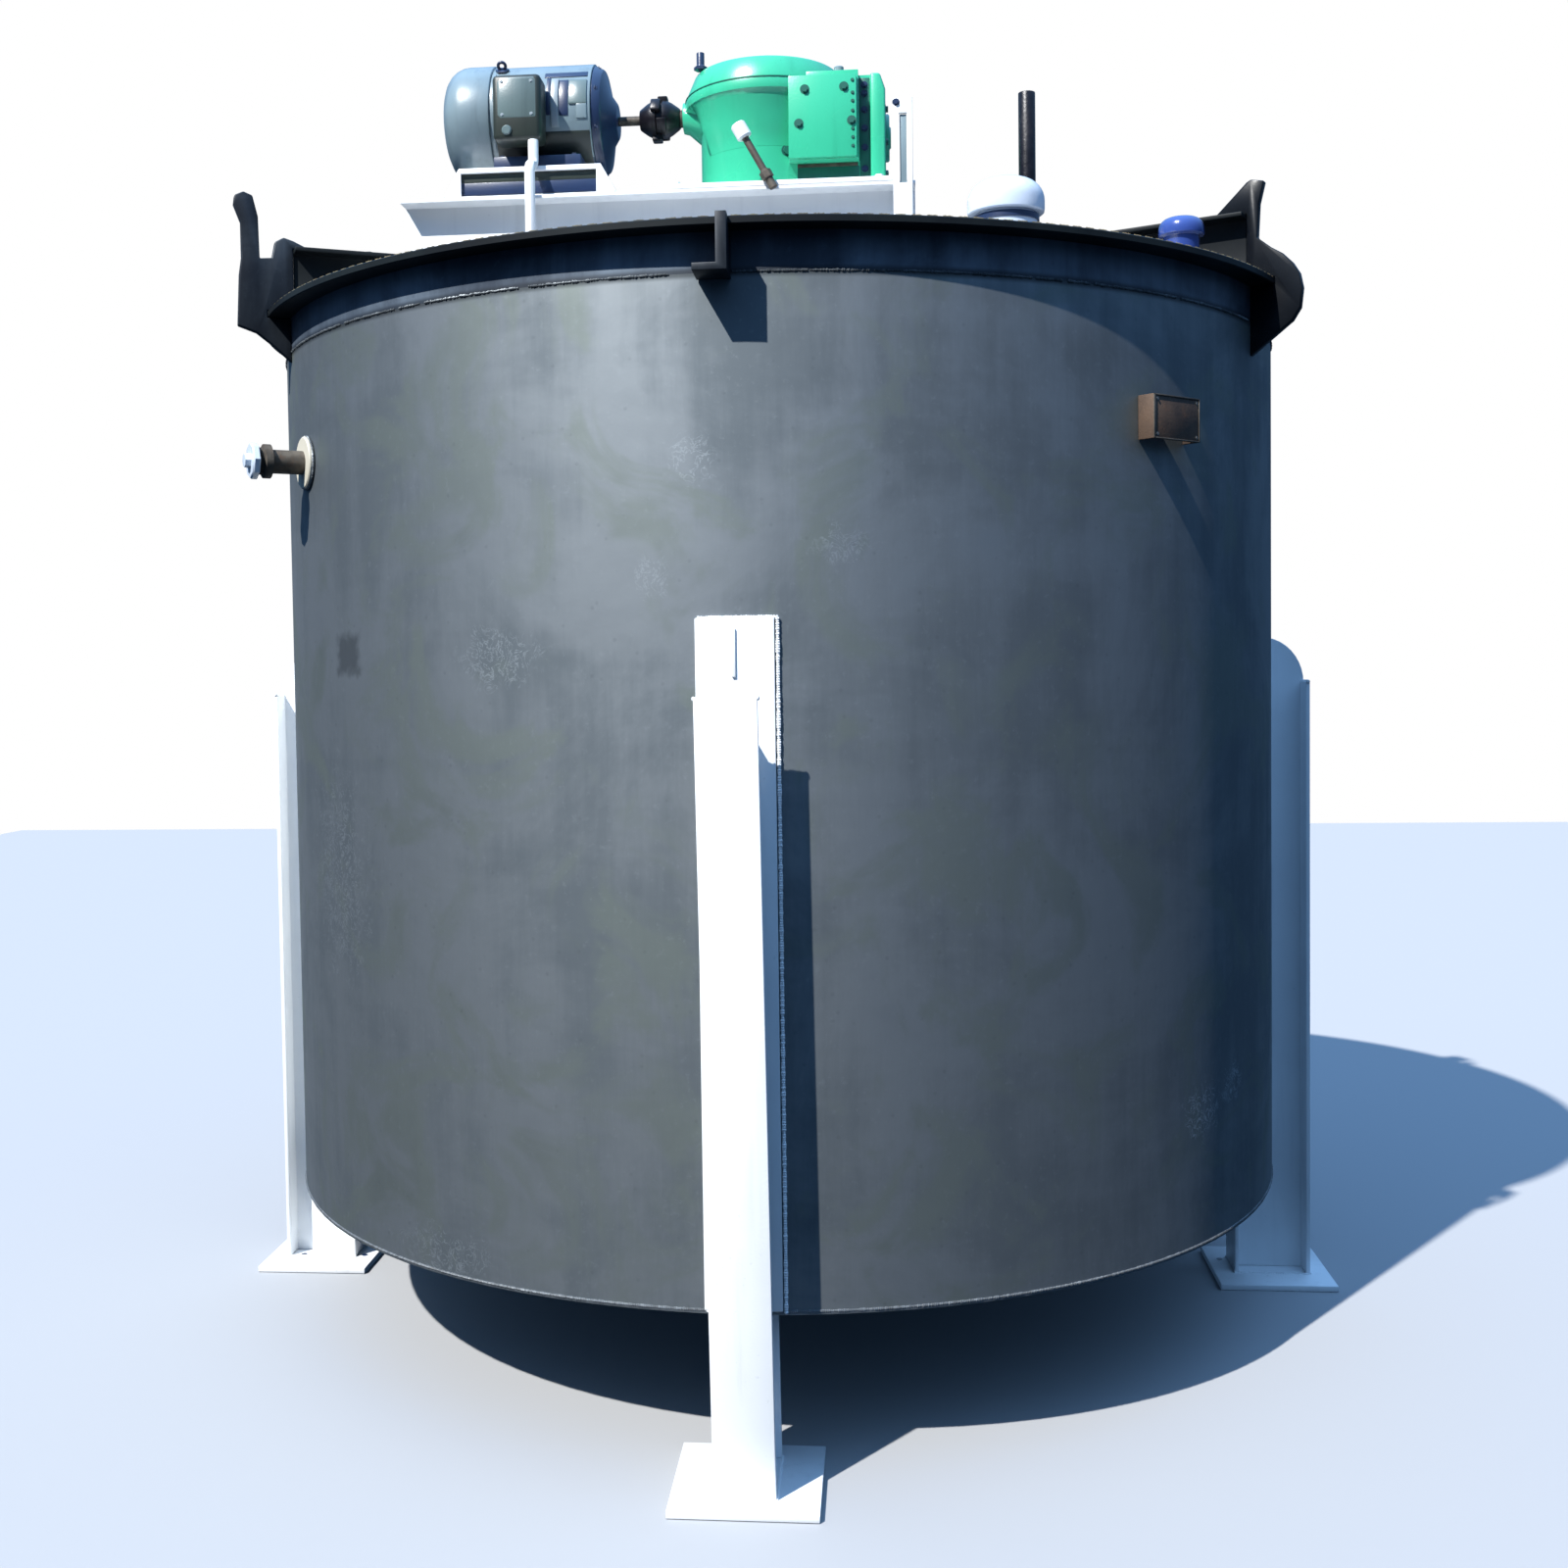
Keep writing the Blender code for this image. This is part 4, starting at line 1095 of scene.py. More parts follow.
@dataclass
class JacketedShell(Assembly):
    """Jacket, collar, rim flange, vessel and bottom."""

    radius: float = 1.295
    plate: float = 0.008
    sides: int = 288
    jacket_rows: int = 48
    collar_rows: int = 2
    ripple: float = 0.0007
    bore: float = 1.211
    rim_radius: float = 1.350
    rim_edge: float = 0.002
    soft_edge: float = 0.002
    softened: tuple[tuple[Finish, str], ...] = (
        (VESSEL, "inner_vessel"), (JACKET, "jacket_bottom"), (VESSEL, "cover_plate"),
        (ZINC, "bottom_outlet"))
    seam: float = 2.453
    seam_bead: float = 0.0028
    seam_drift: float = 0.0015
    seam_length: Pair = (2.0, 16.0)
    seam_gap: Pair = (0.1, 1.2)
    seam_seed: int = 7
    stitches: int = 260
    stitch_radius: float = 1.3445
    stitch_bead: float = 0.0026
    stitch_ends: Pair = (0.1, 0.65)
    bottom_bead: float = 0.0034
    outlet_circle: float = 0.088
    outlet_flange: float = 0.0385
    outlet_bolts: int = 8

    def skin(self, node: str, finish: Finish, rows: int) -> None:
        """Roll a plate ring whose outer face is slightly wavy.

        Args:
            node: node that it stands in for.
            finish: what it is finished in.
            rows: faces up its outer side.
        """
        low, high = (corner.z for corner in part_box(node))
        inner = self.radius - self.plate
        turns = [360.0 * k / self.sides for k in range(self.sides)]
        rings = []
        for row in range(rows + 1):
            height = low + (high - low) * row / rows
            ring = []
            for turn in turns:
                place = on_shell(1.0, turn, height * 0.9)
                reach = self.radius - self.ripple * (0.5 + 0.5 * noise.noise(place * 2.3))
                ring.append(on_shell(reach, turn, height))
            rings.append(ring)
        rings += [[on_shell(inner, turn, height) for turn in turns] for height in (high, low)]
        new_piece(node + "_rolled", lofted(node + "_rolled", rings, True), finish,
                  replaces=(node,))

    def seam_runs(self) -> list[list[Vector]]:
        """List the runs of the seam weld, which is broken here and there.

        Returns:
            Lines of points round the jacket.
        """
        draw = random.Random(self.seam_seed)
        runs = []
        start = 0.0
        while start < 350.0:
            length = draw.uniform(*self.seam_length)
            steps = max(2, int(length * 2))
            runs.append([on_shell(
                self.radius, start + length * k / steps,
                self.seam + self.seam_drift * noise.noise(Vector((start + k, 0.0, 0.0))))
                for k in range(steps + 1)])
            start += length + draw.uniform(*self.seam_gap)
        return runs

    def build(self) -> None:
        """Make the pieces of the shell."""
        self.skin("jacket_shell", JACKET, self.jacket_rows)
        self.skin("collar_band", COLLAR, self.collar_rows)
        low, high = (corner.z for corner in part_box("rim_flange"))
        edge = self.rim_edge
        rim = turned("rim_flange_turned", [
            (self.bore, low), (self.rim_radius - edge, low), (self.rim_radius, low + edge),
            (self.rim_radius, high - edge), (self.rim_radius - edge, high),
            (self.bore, high)], self.sides)
        new_piece("rim_flange_turned", rim, RIM, replaces=("rim_flange",))
        for finish, node in self.softened:
            soften(finish, self.soft_edge, node)
        self.kit.weld("seam_weld", self.seam_runs(), self.seam_bead, SEAM, spread=0.40)
        step = 360.0 / self.stitches
        self.kit.weld("rim_stitches", [
            [on_shell(self.stitch_radius, step * (k + end), high) for end in self.stitch_ends]
            for k in range(self.stitches)], self.stitch_bead, STITCH)
        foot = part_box("bottom_outlet")[0].z + self.outlet_flange
        self.kit.bolts("outlet_bolts", [
            (on_shell(self.outlet_circle, 360.0 * (k + 0.5) / self.outlet_bolts, foot), UP)
            for k in range(self.outlet_bolts)], Bolt.OUTLET, ZINC)
        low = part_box("jacket_bottom")[1].z
        self.kit.weld("bottom_weld", [[
            on_shell(self.radius - 0.001, 2.0 * k, low) for k in range(180)]],
            self.bottom_bead, WELD, closed=True)


@dataclass
class Legs(Assembly):
    """Four legs of I-section with their pads, foot plates and welds."""

    turns: tuple[tuple[str, float, float], ...] = (
        ("front", 0.0, 1.765), ("right", 90.0, 1.735), ("back", 180.0, 1.735),
        ("left", 270.0, 1.735))
    width: float = 0.126
    face: float = 1.411
    inner: float = 1.213
    flange_top: float = 1.605
    flange_seat: float = 1.406
    lean: float = -0.0105
    pad_turn: float = 3.54
    pad_radius: float = 1.2985
    foot_top: float = 0.0163
    hole_across: float = 0.044
    hole_reaches: Pair = (1.368, 1.192)
    beads: Point = (0.0040, 0.0046, 0.0050)
    rib_corners: tuple[Point, Point] = (
        (-0.0125, -1.3085, 1.646), (-0.0045, -1.3020, 1.744))

    def pad_path(self, degrees: float, top: float) -> list[Vector]:
        """Follow a pad's edge up, over and down.

        Args:
            degrees: where its leg stands, from the front.
            top: the pad's upper edge.

        Returns:
            Points along the edge.
        """
        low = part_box("jacket_bottom")[1].z
        left, right = degrees - self.pad_turn, degrees + self.pad_turn
        over = [on_shell(self.pad_radius, left + (right - left) * k / 6, top)
                for k in range(7)]
        return [on_shell(self.pad_radius, left, low), *over,
                on_shell(self.pad_radius, right, low)]

    def build(self) -> None:
        """Soften each leg and foot plate, and weld them."""
        for side, _, _ in self.turns:
            soften(WHITE, 0.0025, "leg_" + side)
            soften(WHITE, 0.002, "foot_plate_" + side)
        half = self.width / 2
        foot_bead, pad_bead, top_bead = self.beads
        self.kit.weld("leg_foot_welds", [
            [beside(turn, x, reach, self.foot_top) for x, reach in (
                (-half, self.inner), (-half, self.face), (half, self.face),
                (half, self.inner))] for _, turn, _ in self.turns], foot_bead, WHITE)
        self.kit.weld("pad_welds", [
            self.pad_path(turn, top) for _, turn, top in self.turns], pad_bead, WHITE)
        shifts = {"front": self.lean * self.flange_top}
        self.kit.weld("flange_top_welds", [
            [beside(turn, x + shifts.get(side, 0.0), self.flange_seat, self.flange_top)
             for x in (-half, half)] for side, turn, _ in self.turns], top_bead, WHITE)
        # Painted shade: dark discs stand in for the weep holes' insides.
        self.kit.bolts("weep_hole_shade", [
            (beside(turn, self.hole_across, reach, self.foot_top - 0.0002), UP)
            for _, turn, _ in self.turns for reach in self.hole_reaches],
            Bolt.HOLE, NAVY, Head.ROUND)
        new_piece("front_pad_rib", block("front_pad_rib", *self.rib_corners), WHITE)


@dataclass
class RimWorks(Assembly):
    """Ears, ribs and fittings on the cover, nozzle and name plate on the jacket."""

    grey_ears: tuple[str, ...] = (
        "ear_front", "ear_back_right", "ear_back", "ear_back_left", "ear_front_left")
    nozzle_turn: float = -56.0
    nozzle_height: float = 2.165
    nozzle_radius: float = 1.2953
    pad_radius: float = 0.062
    pad_bead: float = 0.003
    threads: int = 5
    thread_pitch: float = 0.0022
    name_turn: float = 43.6
    name_reach: float = 1.334
    name_half: float = 0.0785
    name_heights: Pair = (2.137, 2.231)
    cap_place: Point = (0.580, -0.700, 2.5626)
    rib_turns: tuple[float, ...] = (63.0, 117.0, 243.0, 297.0)
    rib_bolt_reaches: Point = (0.62, 0.86, 1.10)
    rib_half: float = 0.045
    rib_ends: Pair = (0.300, 1.285)
    rib_bead: float = 0.0045

    def capped_pipe(self) -> None:
        """Rebuild the cover nozzle as a pipe body with a domed cap on it."""
        foot = Matrix.Translation(self.cap_place)
        cap = [(0, 0.1315), (0.084, 0.1315), (0.087, 0.134), (0.088, 0.140)]
        cap += arc((0.030, 0.1594), (0.058, 0.053), 0, 90, 10) + [(0, 0.2124)]
        new_piece("cover_nozzle_cap", turned("cap", cap, 64, False, foot), PALE,
                  replaces=("cover_nozzle",))
        body = [(0, 0), (0.074, 0), (0.074, 0.004), (0.0725, 0.006), (0.0725, 0.128),
                (0.070, 0.1310), (0, 0.1310)]
        new_piece("cover_nozzle_body", turned("body", body, 64, False, foot), PALE)
        # Painted shade: a dark blue ring just under the cap's lip stands in for the gap between
        # cap and body.
        band = [(0.0732, 0.112), (0.0758, 0.113), (0.0758, 0.126), (0.0732, 0.127)]
        new_piece("cover_nozzle_gap_shade", turned("band", band, 64, True, foot), NAVY)

    def side_nozzle(self) -> None:
        """Rebuild the side nozzle as a pad, a threaded pipe and a plug."""
        place = seat(on_shell(self.nozzle_radius, self.nozzle_turn, self.nozzle_height),
                     on_shell(1.0, self.nozzle_turn, 0.0))
        rim = self.pad_radius
        pad = [(0, 0), (rim, 0), (rim, 0.009), (rim - 0.003, 0.0117), (0, 0.0117)]
        new_piece("side_nozzle_pad", turned("pad", pad, 56, False, place), BEIGE,
                  replaces=("side_nozzle",))
        pipe = [(0, 0.0118), (0.028, 0.0118), (0.028, 0.086), (0.040, 0.0885),
                (0.040, 0.1045), (0.032, 0.107)]
        for thread in range(self.threads):
            start = 0.108 + self.thread_pitch * thread
            pipe += [(0.0305, start), (0.032, start + self.thread_pitch / 2)]
        pipe += [(0.032, 0.1190), (0, 0.1190)]
        new_piece("side_nozzle_pipe", turned("pipe", pipe, 48, False, place), BROWN)
        plug = [(0, 0.1192), (0.041, 0.1192), (0.043, 0.1212), (0.043, 0.1325),
                (0.040, 0.136), (0.018, 0.136), (0.016, 0.1490), (0, 0.1497)]
        new_piece("side_nozzle_plug", turned("plug", plug, 8, False, place), PALE)
        ring = [place @ Vector((rim * math.cos(t), rim * math.sin(t), 0.003))
                for t in (math.tau * k / 60 for k in range(60))]
        self.kit.weld("side_nozzle_weld", [ring], self.pad_bead, WELD, closed=True)

    def name_plate(self) -> None:
        """Soften the name plate's bracket and frame its bare plate."""
        soften(RUST, 0.0012, "name_plate_bracket")
        low, high = self.name_heights
        half, face = self.name_half, -self.name_reach
        bars = ((-half, -half + 0.006, low, high), (half - 0.003, half, low, high),
                (-half, half, high - 0.003, high), (-half, half, low, low + 0.003))
        border = joined("name_plate_border", [block(
            "bar", (x0, face - 0.0016, z0), (x1, face + 0.0006, z1), 0.0005)
            for x0, x1, z0, z1 in bars])
        turn = Matrix.Rotation(math.radians(self.name_turn), 4, "Z")
        border.transform(turn)
        new_piece("name_plate_border", border, BROWN)
        self.kit.bolts("name_plate_rivets", [
            (turn @ Vector((x, face, z)), turn @ OUTWARD)
            for x in (-half + 0.013, half - 0.010)
            for z in (low + 0.010, high - 0.010)], Bolt.RIVET, ZINC, Head.ROUND)

    def build(self) -> None:
        """Dress the ears, the ribs and the fittings."""
        soften(EAR, 0.003, *self.grey_ears)
        soften(EAR_BLACK, 0.003, "ear_front_right")
        soften(RIM, 0.0015, "cover_ribs")
        soften(BLACK, 0.001, "vent_pipe")
        soften(CAP_BLUE, 0.0015, "fill_cap")
        self.capped_pipe()
        self.side_nozzle()
        self.name_plate()
        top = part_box("cover_ribs")[1].z
        self.kit.bolts("rib_bolts", [
            (on_shell(reach, turn, top), UP) for turn in self.rib_turns
            for reach in self.rib_bolt_reaches], Bolt.FRAME, ZINC)
        self.kit.weld("rib_foot_welds", [
            [beside(turn, across, reach, self.cap_place[2]) for reach in self.rib_ends]
            for turn in self.rib_turns for across in (-self.rib_half, self.rib_half)],
            self.rib_bead, RIM)


@dataclass
class DriveFrame(Assembly):
    """White frame, motor stand and bracket."""

    nodes: tuple[str, ...] = (
        "frame_channel_front", "frame_channel_back", "frame_cross_mid",
        "frame_cross_right", "frame_stool", "gear_base_plate", "upright_bracket",
        "motor_stand")
    front: float = -0.260
    web: float = 0.1945
    bolt_row: float = 0.236
    stand_bolts: Pair = (-0.855, -0.405)
    base_bolts: Pair = (-0.236, 0.290)
    channel_bolts: tuple[float, ...] = (-0.55, -0.43, 0.12, 0.24)
    weld_places: Pair = (-0.351, 0.369)
    weld_bead: float = 0.004
    # Painted shade: dark olive and dark blue rails behind the stand's windows, where the stand's
    # inside is in shade.
    shade_rail_faces: Pair = (0.1900, 0.1940)
    shade_rails: tuple[tuple[str, Finish, Pair, Pair], ...] = (
        ("olive", OLIVE, (-0.8180, -0.4420), (2.9585, 2.9838)),
        ("navy", NAVY, (-0.8320, -0.4280), (2.9250, 2.9580)))
    slot: tuple[Pair, Pair] = ((0.3435, 2.8965), (0.3605, 3.0685))
    bracket_bolt: Point = (0.3345, -0.2703, 3.098)

    def build(self) -> None:
        """Soften the frame, line the stand's windows with painted shade and bolt it all together.
        """
        soften(WHITE, 0.0018, *self.nodes)
        soften(WHITE, 0.001, "conduit")
        (x0, z0), (x1, z1) = self.slot
        new_piece("bracket_slot_backing", block(
            "backing", (x0, self.front - 0.004, z0), (x1, self.front - 0.0008, z1), 0.0006),
            BLUE)
        for side, label in ((-1, "front"), (1, "back")):
            low, high = sorted(side * face for face in self.shade_rail_faces)
            for paint, finish, (x0, x1), (z0, z1) in self.shade_rails:
                new_piece("stand_shade_rail_%s_%s" % (paint, label), block(
                    "rail", (x0, low, z0), (x1, high, z1)), finish)
        bottom, top = (corner.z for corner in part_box("frame_channel_front"))
        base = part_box("gear_base_plate")[1].z
        for name, xs, z, size, finish in (
                ("stand_bolts", self.stand_bolts, top, Bolt.FOOT, WHITE),
                ("base_bolts", self.base_bolts, base, Bolt.FRAME, WHITE),
                ("channel_bolts", self.channel_bolts, bottom + 0.010, Bolt.FRAME, ZINC)):
            self.kit.bolts(name, both_sides(xs, self.bolt_row, z), size, finish)
        self.kit.weld("frame_welds", [
            [Vector((x, side * self.web, z)) for z in (bottom, top)]
            for x in self.weld_places for side in (-1, 1)], self.weld_bead, WHITE)
        self.kit.bolts("bracket_bolts", [(Vector(self.bracket_bolt), OUTWARD)], Bolt.NECK, NAVY)


@dataclass(frozen=True)
class Plate:
    """A curved plate on the motor: its ends in x, edges in degrees up, and thickness."""

    name: str
    along: Pair
    turns: Pair
    proud: float
    finish: Finish


@dataclass
class Motor(Assembly):
    """Fan cowl, barrel with its plates, end bell, conduit box and coupling."""

    axis: float = 3.163
    radius: float = 0.150
    fan_end: float = -0.8838
    grille_radii: tuple[float, ...] = (0.018, 0.034, 0.050, 0.066, 0.082)
    bell_face: float = -0.4645
    bell_circle: float = 0.134
    bell_bolts: int = 8
    foot_bolts: Pair = (-0.715, -0.520)
    foot_row: float = 0.135
    foot_level: float = 3.034
    box_face: float = -0.235
    plug_place: Pair = (-0.682, 3.080)
    lug_place: Point = (-0.721, -0.0915, 3.2802)
    lug_axis: Point = (0.0, -0.6157, 0.7880)
    shadow_height: float = 3.044
    coupling: Pair = (-0.360, -0.250)
    coupling_radius: float = 0.0615
    jaw_root: float = 0.022
    jaw_length: float = 0.026
    jaw_half_turns: Pair = (27.0, 19.0)
    jaw_turns: Point = (30.0, 150.0, 270.0)
    plates: tuple[Plate, ...] = (
        # The slot plates are painted shade in the barrel's openings; the underside plates are
        # painted shade under the barrel.
        Plate("barrel_slot_shade_left", (-0.593, -0.582), (-8, 34), 0.0012, NAVY),
        Plate("barrel_bar", (-0.580, -0.560), (-20, 31), 0.0050, SILVER),
        Plate("barrel_slot_shade_right", (-0.558, -0.534), (-9, 30), 0.0014, NAVY),
        Plate("barrel_plate", (-0.532, -0.484), (2, 29), 0.0040, LID),
        Plate("barrel_plate_low", (-0.512, -0.484), (-12, 2), 0.0034, BLUE),
        Plate("barrel_top_strip", (-0.600, -0.484), (34.5, 42), 0.0016, NAVY),
        Plate("barrel_painted_shade", (-0.7330, -0.4785), (-72, -24), 0.0014, OLIVE),
        Plate("barrel_underside_back", (-0.7330, -0.4785), (204, 252), 0.0014, OLIVE),
        Plate("barrel_band", (-0.7440, -0.7340), (-60, 240), 0.0030, BLUE))

    def at_x(self, x: float, way: int = 1) -> Matrix:
        """Return the seat on the motor's axis at x, facing along X or against it."""
        return seat((x, 0, self.axis), (way, 0, 0))

    def patch(self, plate: Plate) -> None:
        """Lay a curved plate on the barrel.

        Args:
            plate: the plate.
        """
        start, end = plate.along
        low, high = -0.0006, plate.proud
        rings = []
        for step in range(13):
            turn = math.radians(plate.turns[0] + (plate.turns[1] - plate.turns[0]) * step / 12)
            rings.append([
                (x, -(self.radius + out) * math.cos(turn),
                 self.axis + (self.radius + out) * math.sin(turn))
                for x, out in ((start, low), (end, low), (end, high), (start, high))])
        width = min(0.0012, plate.proud * 0.45)
        new_piece(plate.name, bevelled(lofted(plate.name, rings), width), plate.finish)

    def jaw(self, start: float, middle: float) -> bpy.types.Mesh:
        """Make one jaw of the coupling.

        Args:
            start: x of its foot.
            middle: direction of its middle, in degrees.

        Returns:
            The new mesh.
        """
        wide, narrow = self.jaw_half_turns
        outline = arc((0, 0), (self.jaw_root,) * 2, middle - wide, middle + wide, 4)
        outline += arc(
            (0, 0), (self.coupling_radius,) * 2, middle + narrow, middle - narrow, 4)
        return prism("jaw", outline, self.jaw_length, self.at_x(start), 0.003)

    def drive(self) -> None:
        """Rebuild the coupling as two hubs whose jaws hold a spider between them."""
        start, end = self.coupling
        profile = [(0, 0.0003), (0.026, 0.0003), (0.030, 0.005), (0.042, 0.022),
                   (0.050, 0.038), (0.050, 0.046), (0, 0.046)]
        parts = [turned("hub", profile, 40, False, self.at_x(x, way))
                 for x, way in ((start, 1), (end, -1))]
        parts.append(stub("spider", 0.044, 0.017, self.at_x(start + 0.0465)))
        for turn in self.jaw_turns:
            parts.append(self.jaw(start + 0.034, turn))
            parts.append(self.jaw(end - 0.060, turn + 60.0))
        new_piece("drive_coupling_jaws", joined("drive_coupling_jaws", parts), BLACK,
                  Body.SHAFT, ("drive_coupling",))
        ends = [stub("shaft", radius, length, self.at_x(x)) for radius, length, x in (
            (0.0125, 0.0592, -0.4195), (0.023, 0.0090, -0.2498))]
        new_piece("drive_shaft_ends", joined("drive_shaft_ends", ends), BROWN, Body.SHAFT)

    def grille(self) -> None:
        """Put a round air grille on the fan end of the cowl."""
        place = self.at_x(self.fan_end, -1)
        parts = [turned("ring", arc((reach, 0.0), (0.0016, 0.0012), 0, 315, 7), 64, True,
                        place) for reach in self.grille_radii]
        half = self.grille_radii[-1]
        for turn in range(0, 180, 45):
            bar = block("bar", (-half, -0.0012, -0.001), (half, 0.0012, 0.0008), 0.0004)
            bar.transform(place @ Matrix.Rotation(math.radians(turn), 4, "Z"))
            parts.append(bar)
        new_piece("fan_grille", joined("fan_grille", parts), NAVY)

    def box(self) -> None:
        """Round the conduit box and give it a lid, screws and a plug."""
        # Painted shade: the box's body takes the dark olive.
        soften(OLIVE, 0.012, "conduit_box")
        face = self.box_face
        lid = [(-0.700, 0.008), (-0.606, 0.008), (-0.602, 0.014), (-0.602, 0.108),
               (-0.608, 0.116), (-0.698, 0.116), (-0.708, 0.104), (-0.708, 0.018)]
        new_piece("conduit_lid", prism(
            "conduit_lid", lid, 0.013, seat((0, face + 0.0125, 3.102), OUTWARD), 0.005), LID)
        self.kit.bolts("conduit_lid_screws", [
            (Vector((x, face - 0.0003, z)), OUTWARD)
            for x in (-0.694, -0.616) for z in (3.121, 3.206)],
            Bolt.LID_SCREW, SILVER, Head.ROUND)
        x, z = self.plug_place
        new_piece("conduit_plug", stub(
            "conduit_plug", 0.013, 0.006, seat((x, face - 0.0002, z), OUTWARD), 0.003), LID)

    def build(self) -> None:
        """Dress the motor and its coupling."""
        barrel, _ = soften(BLUE, 0.003, "motor_body", "fan_cowl")
        # Painted shade: barrel faces below shadow_height, on its lower side and feet, take the
        # dark blue.
        barrel.data.materials.append(NAVY.material())
        for face in barrel.data.polygons:
            face.material_index = int(face.center.z < self.shadow_height)
        soften(NAVY, 0.003, "motor_end_bell")
        self.box()
        for plate in self.plates:
            self.patch(plate)
        self.grille()
        self.drive()
        lug = seat(self.lug_place, self.lug_axis)
        upright = Matrix.Translation((0, 0, 0.016)) @ Matrix.Rotation(math.pi / 2, 4, "X")
        eye = turned("eye", arc((0.0100, 0.0), (0.0042, 0.0042), 0, 330, 11), 32, True,
                     lug @ upright)
        new_piece("lifting_eye", joined("lifting_eye", [
            eye, stub("lug", 0.0190, 0.0075, lug, 0.002, 6)]), NAVY)
        turns = [math.tau * (k + 0.5) / self.bell_bolts for k in range(self.bell_bolts)]
        self.kit.bolts("bell_bolts", [
            (Vector((self.bell_face, self.bell_circle * math.cos(t),
                     self.axis + self.bell_circle * math.sin(t))), ALONG)
            for t in turns], Bolt.BELL, NAVY)
        self.kit.bolts("motor_foot_bolts", both_sides(
            self.foot_bolts, self.foot_row, self.foot_level), Bolt.FOOT, NAVY)


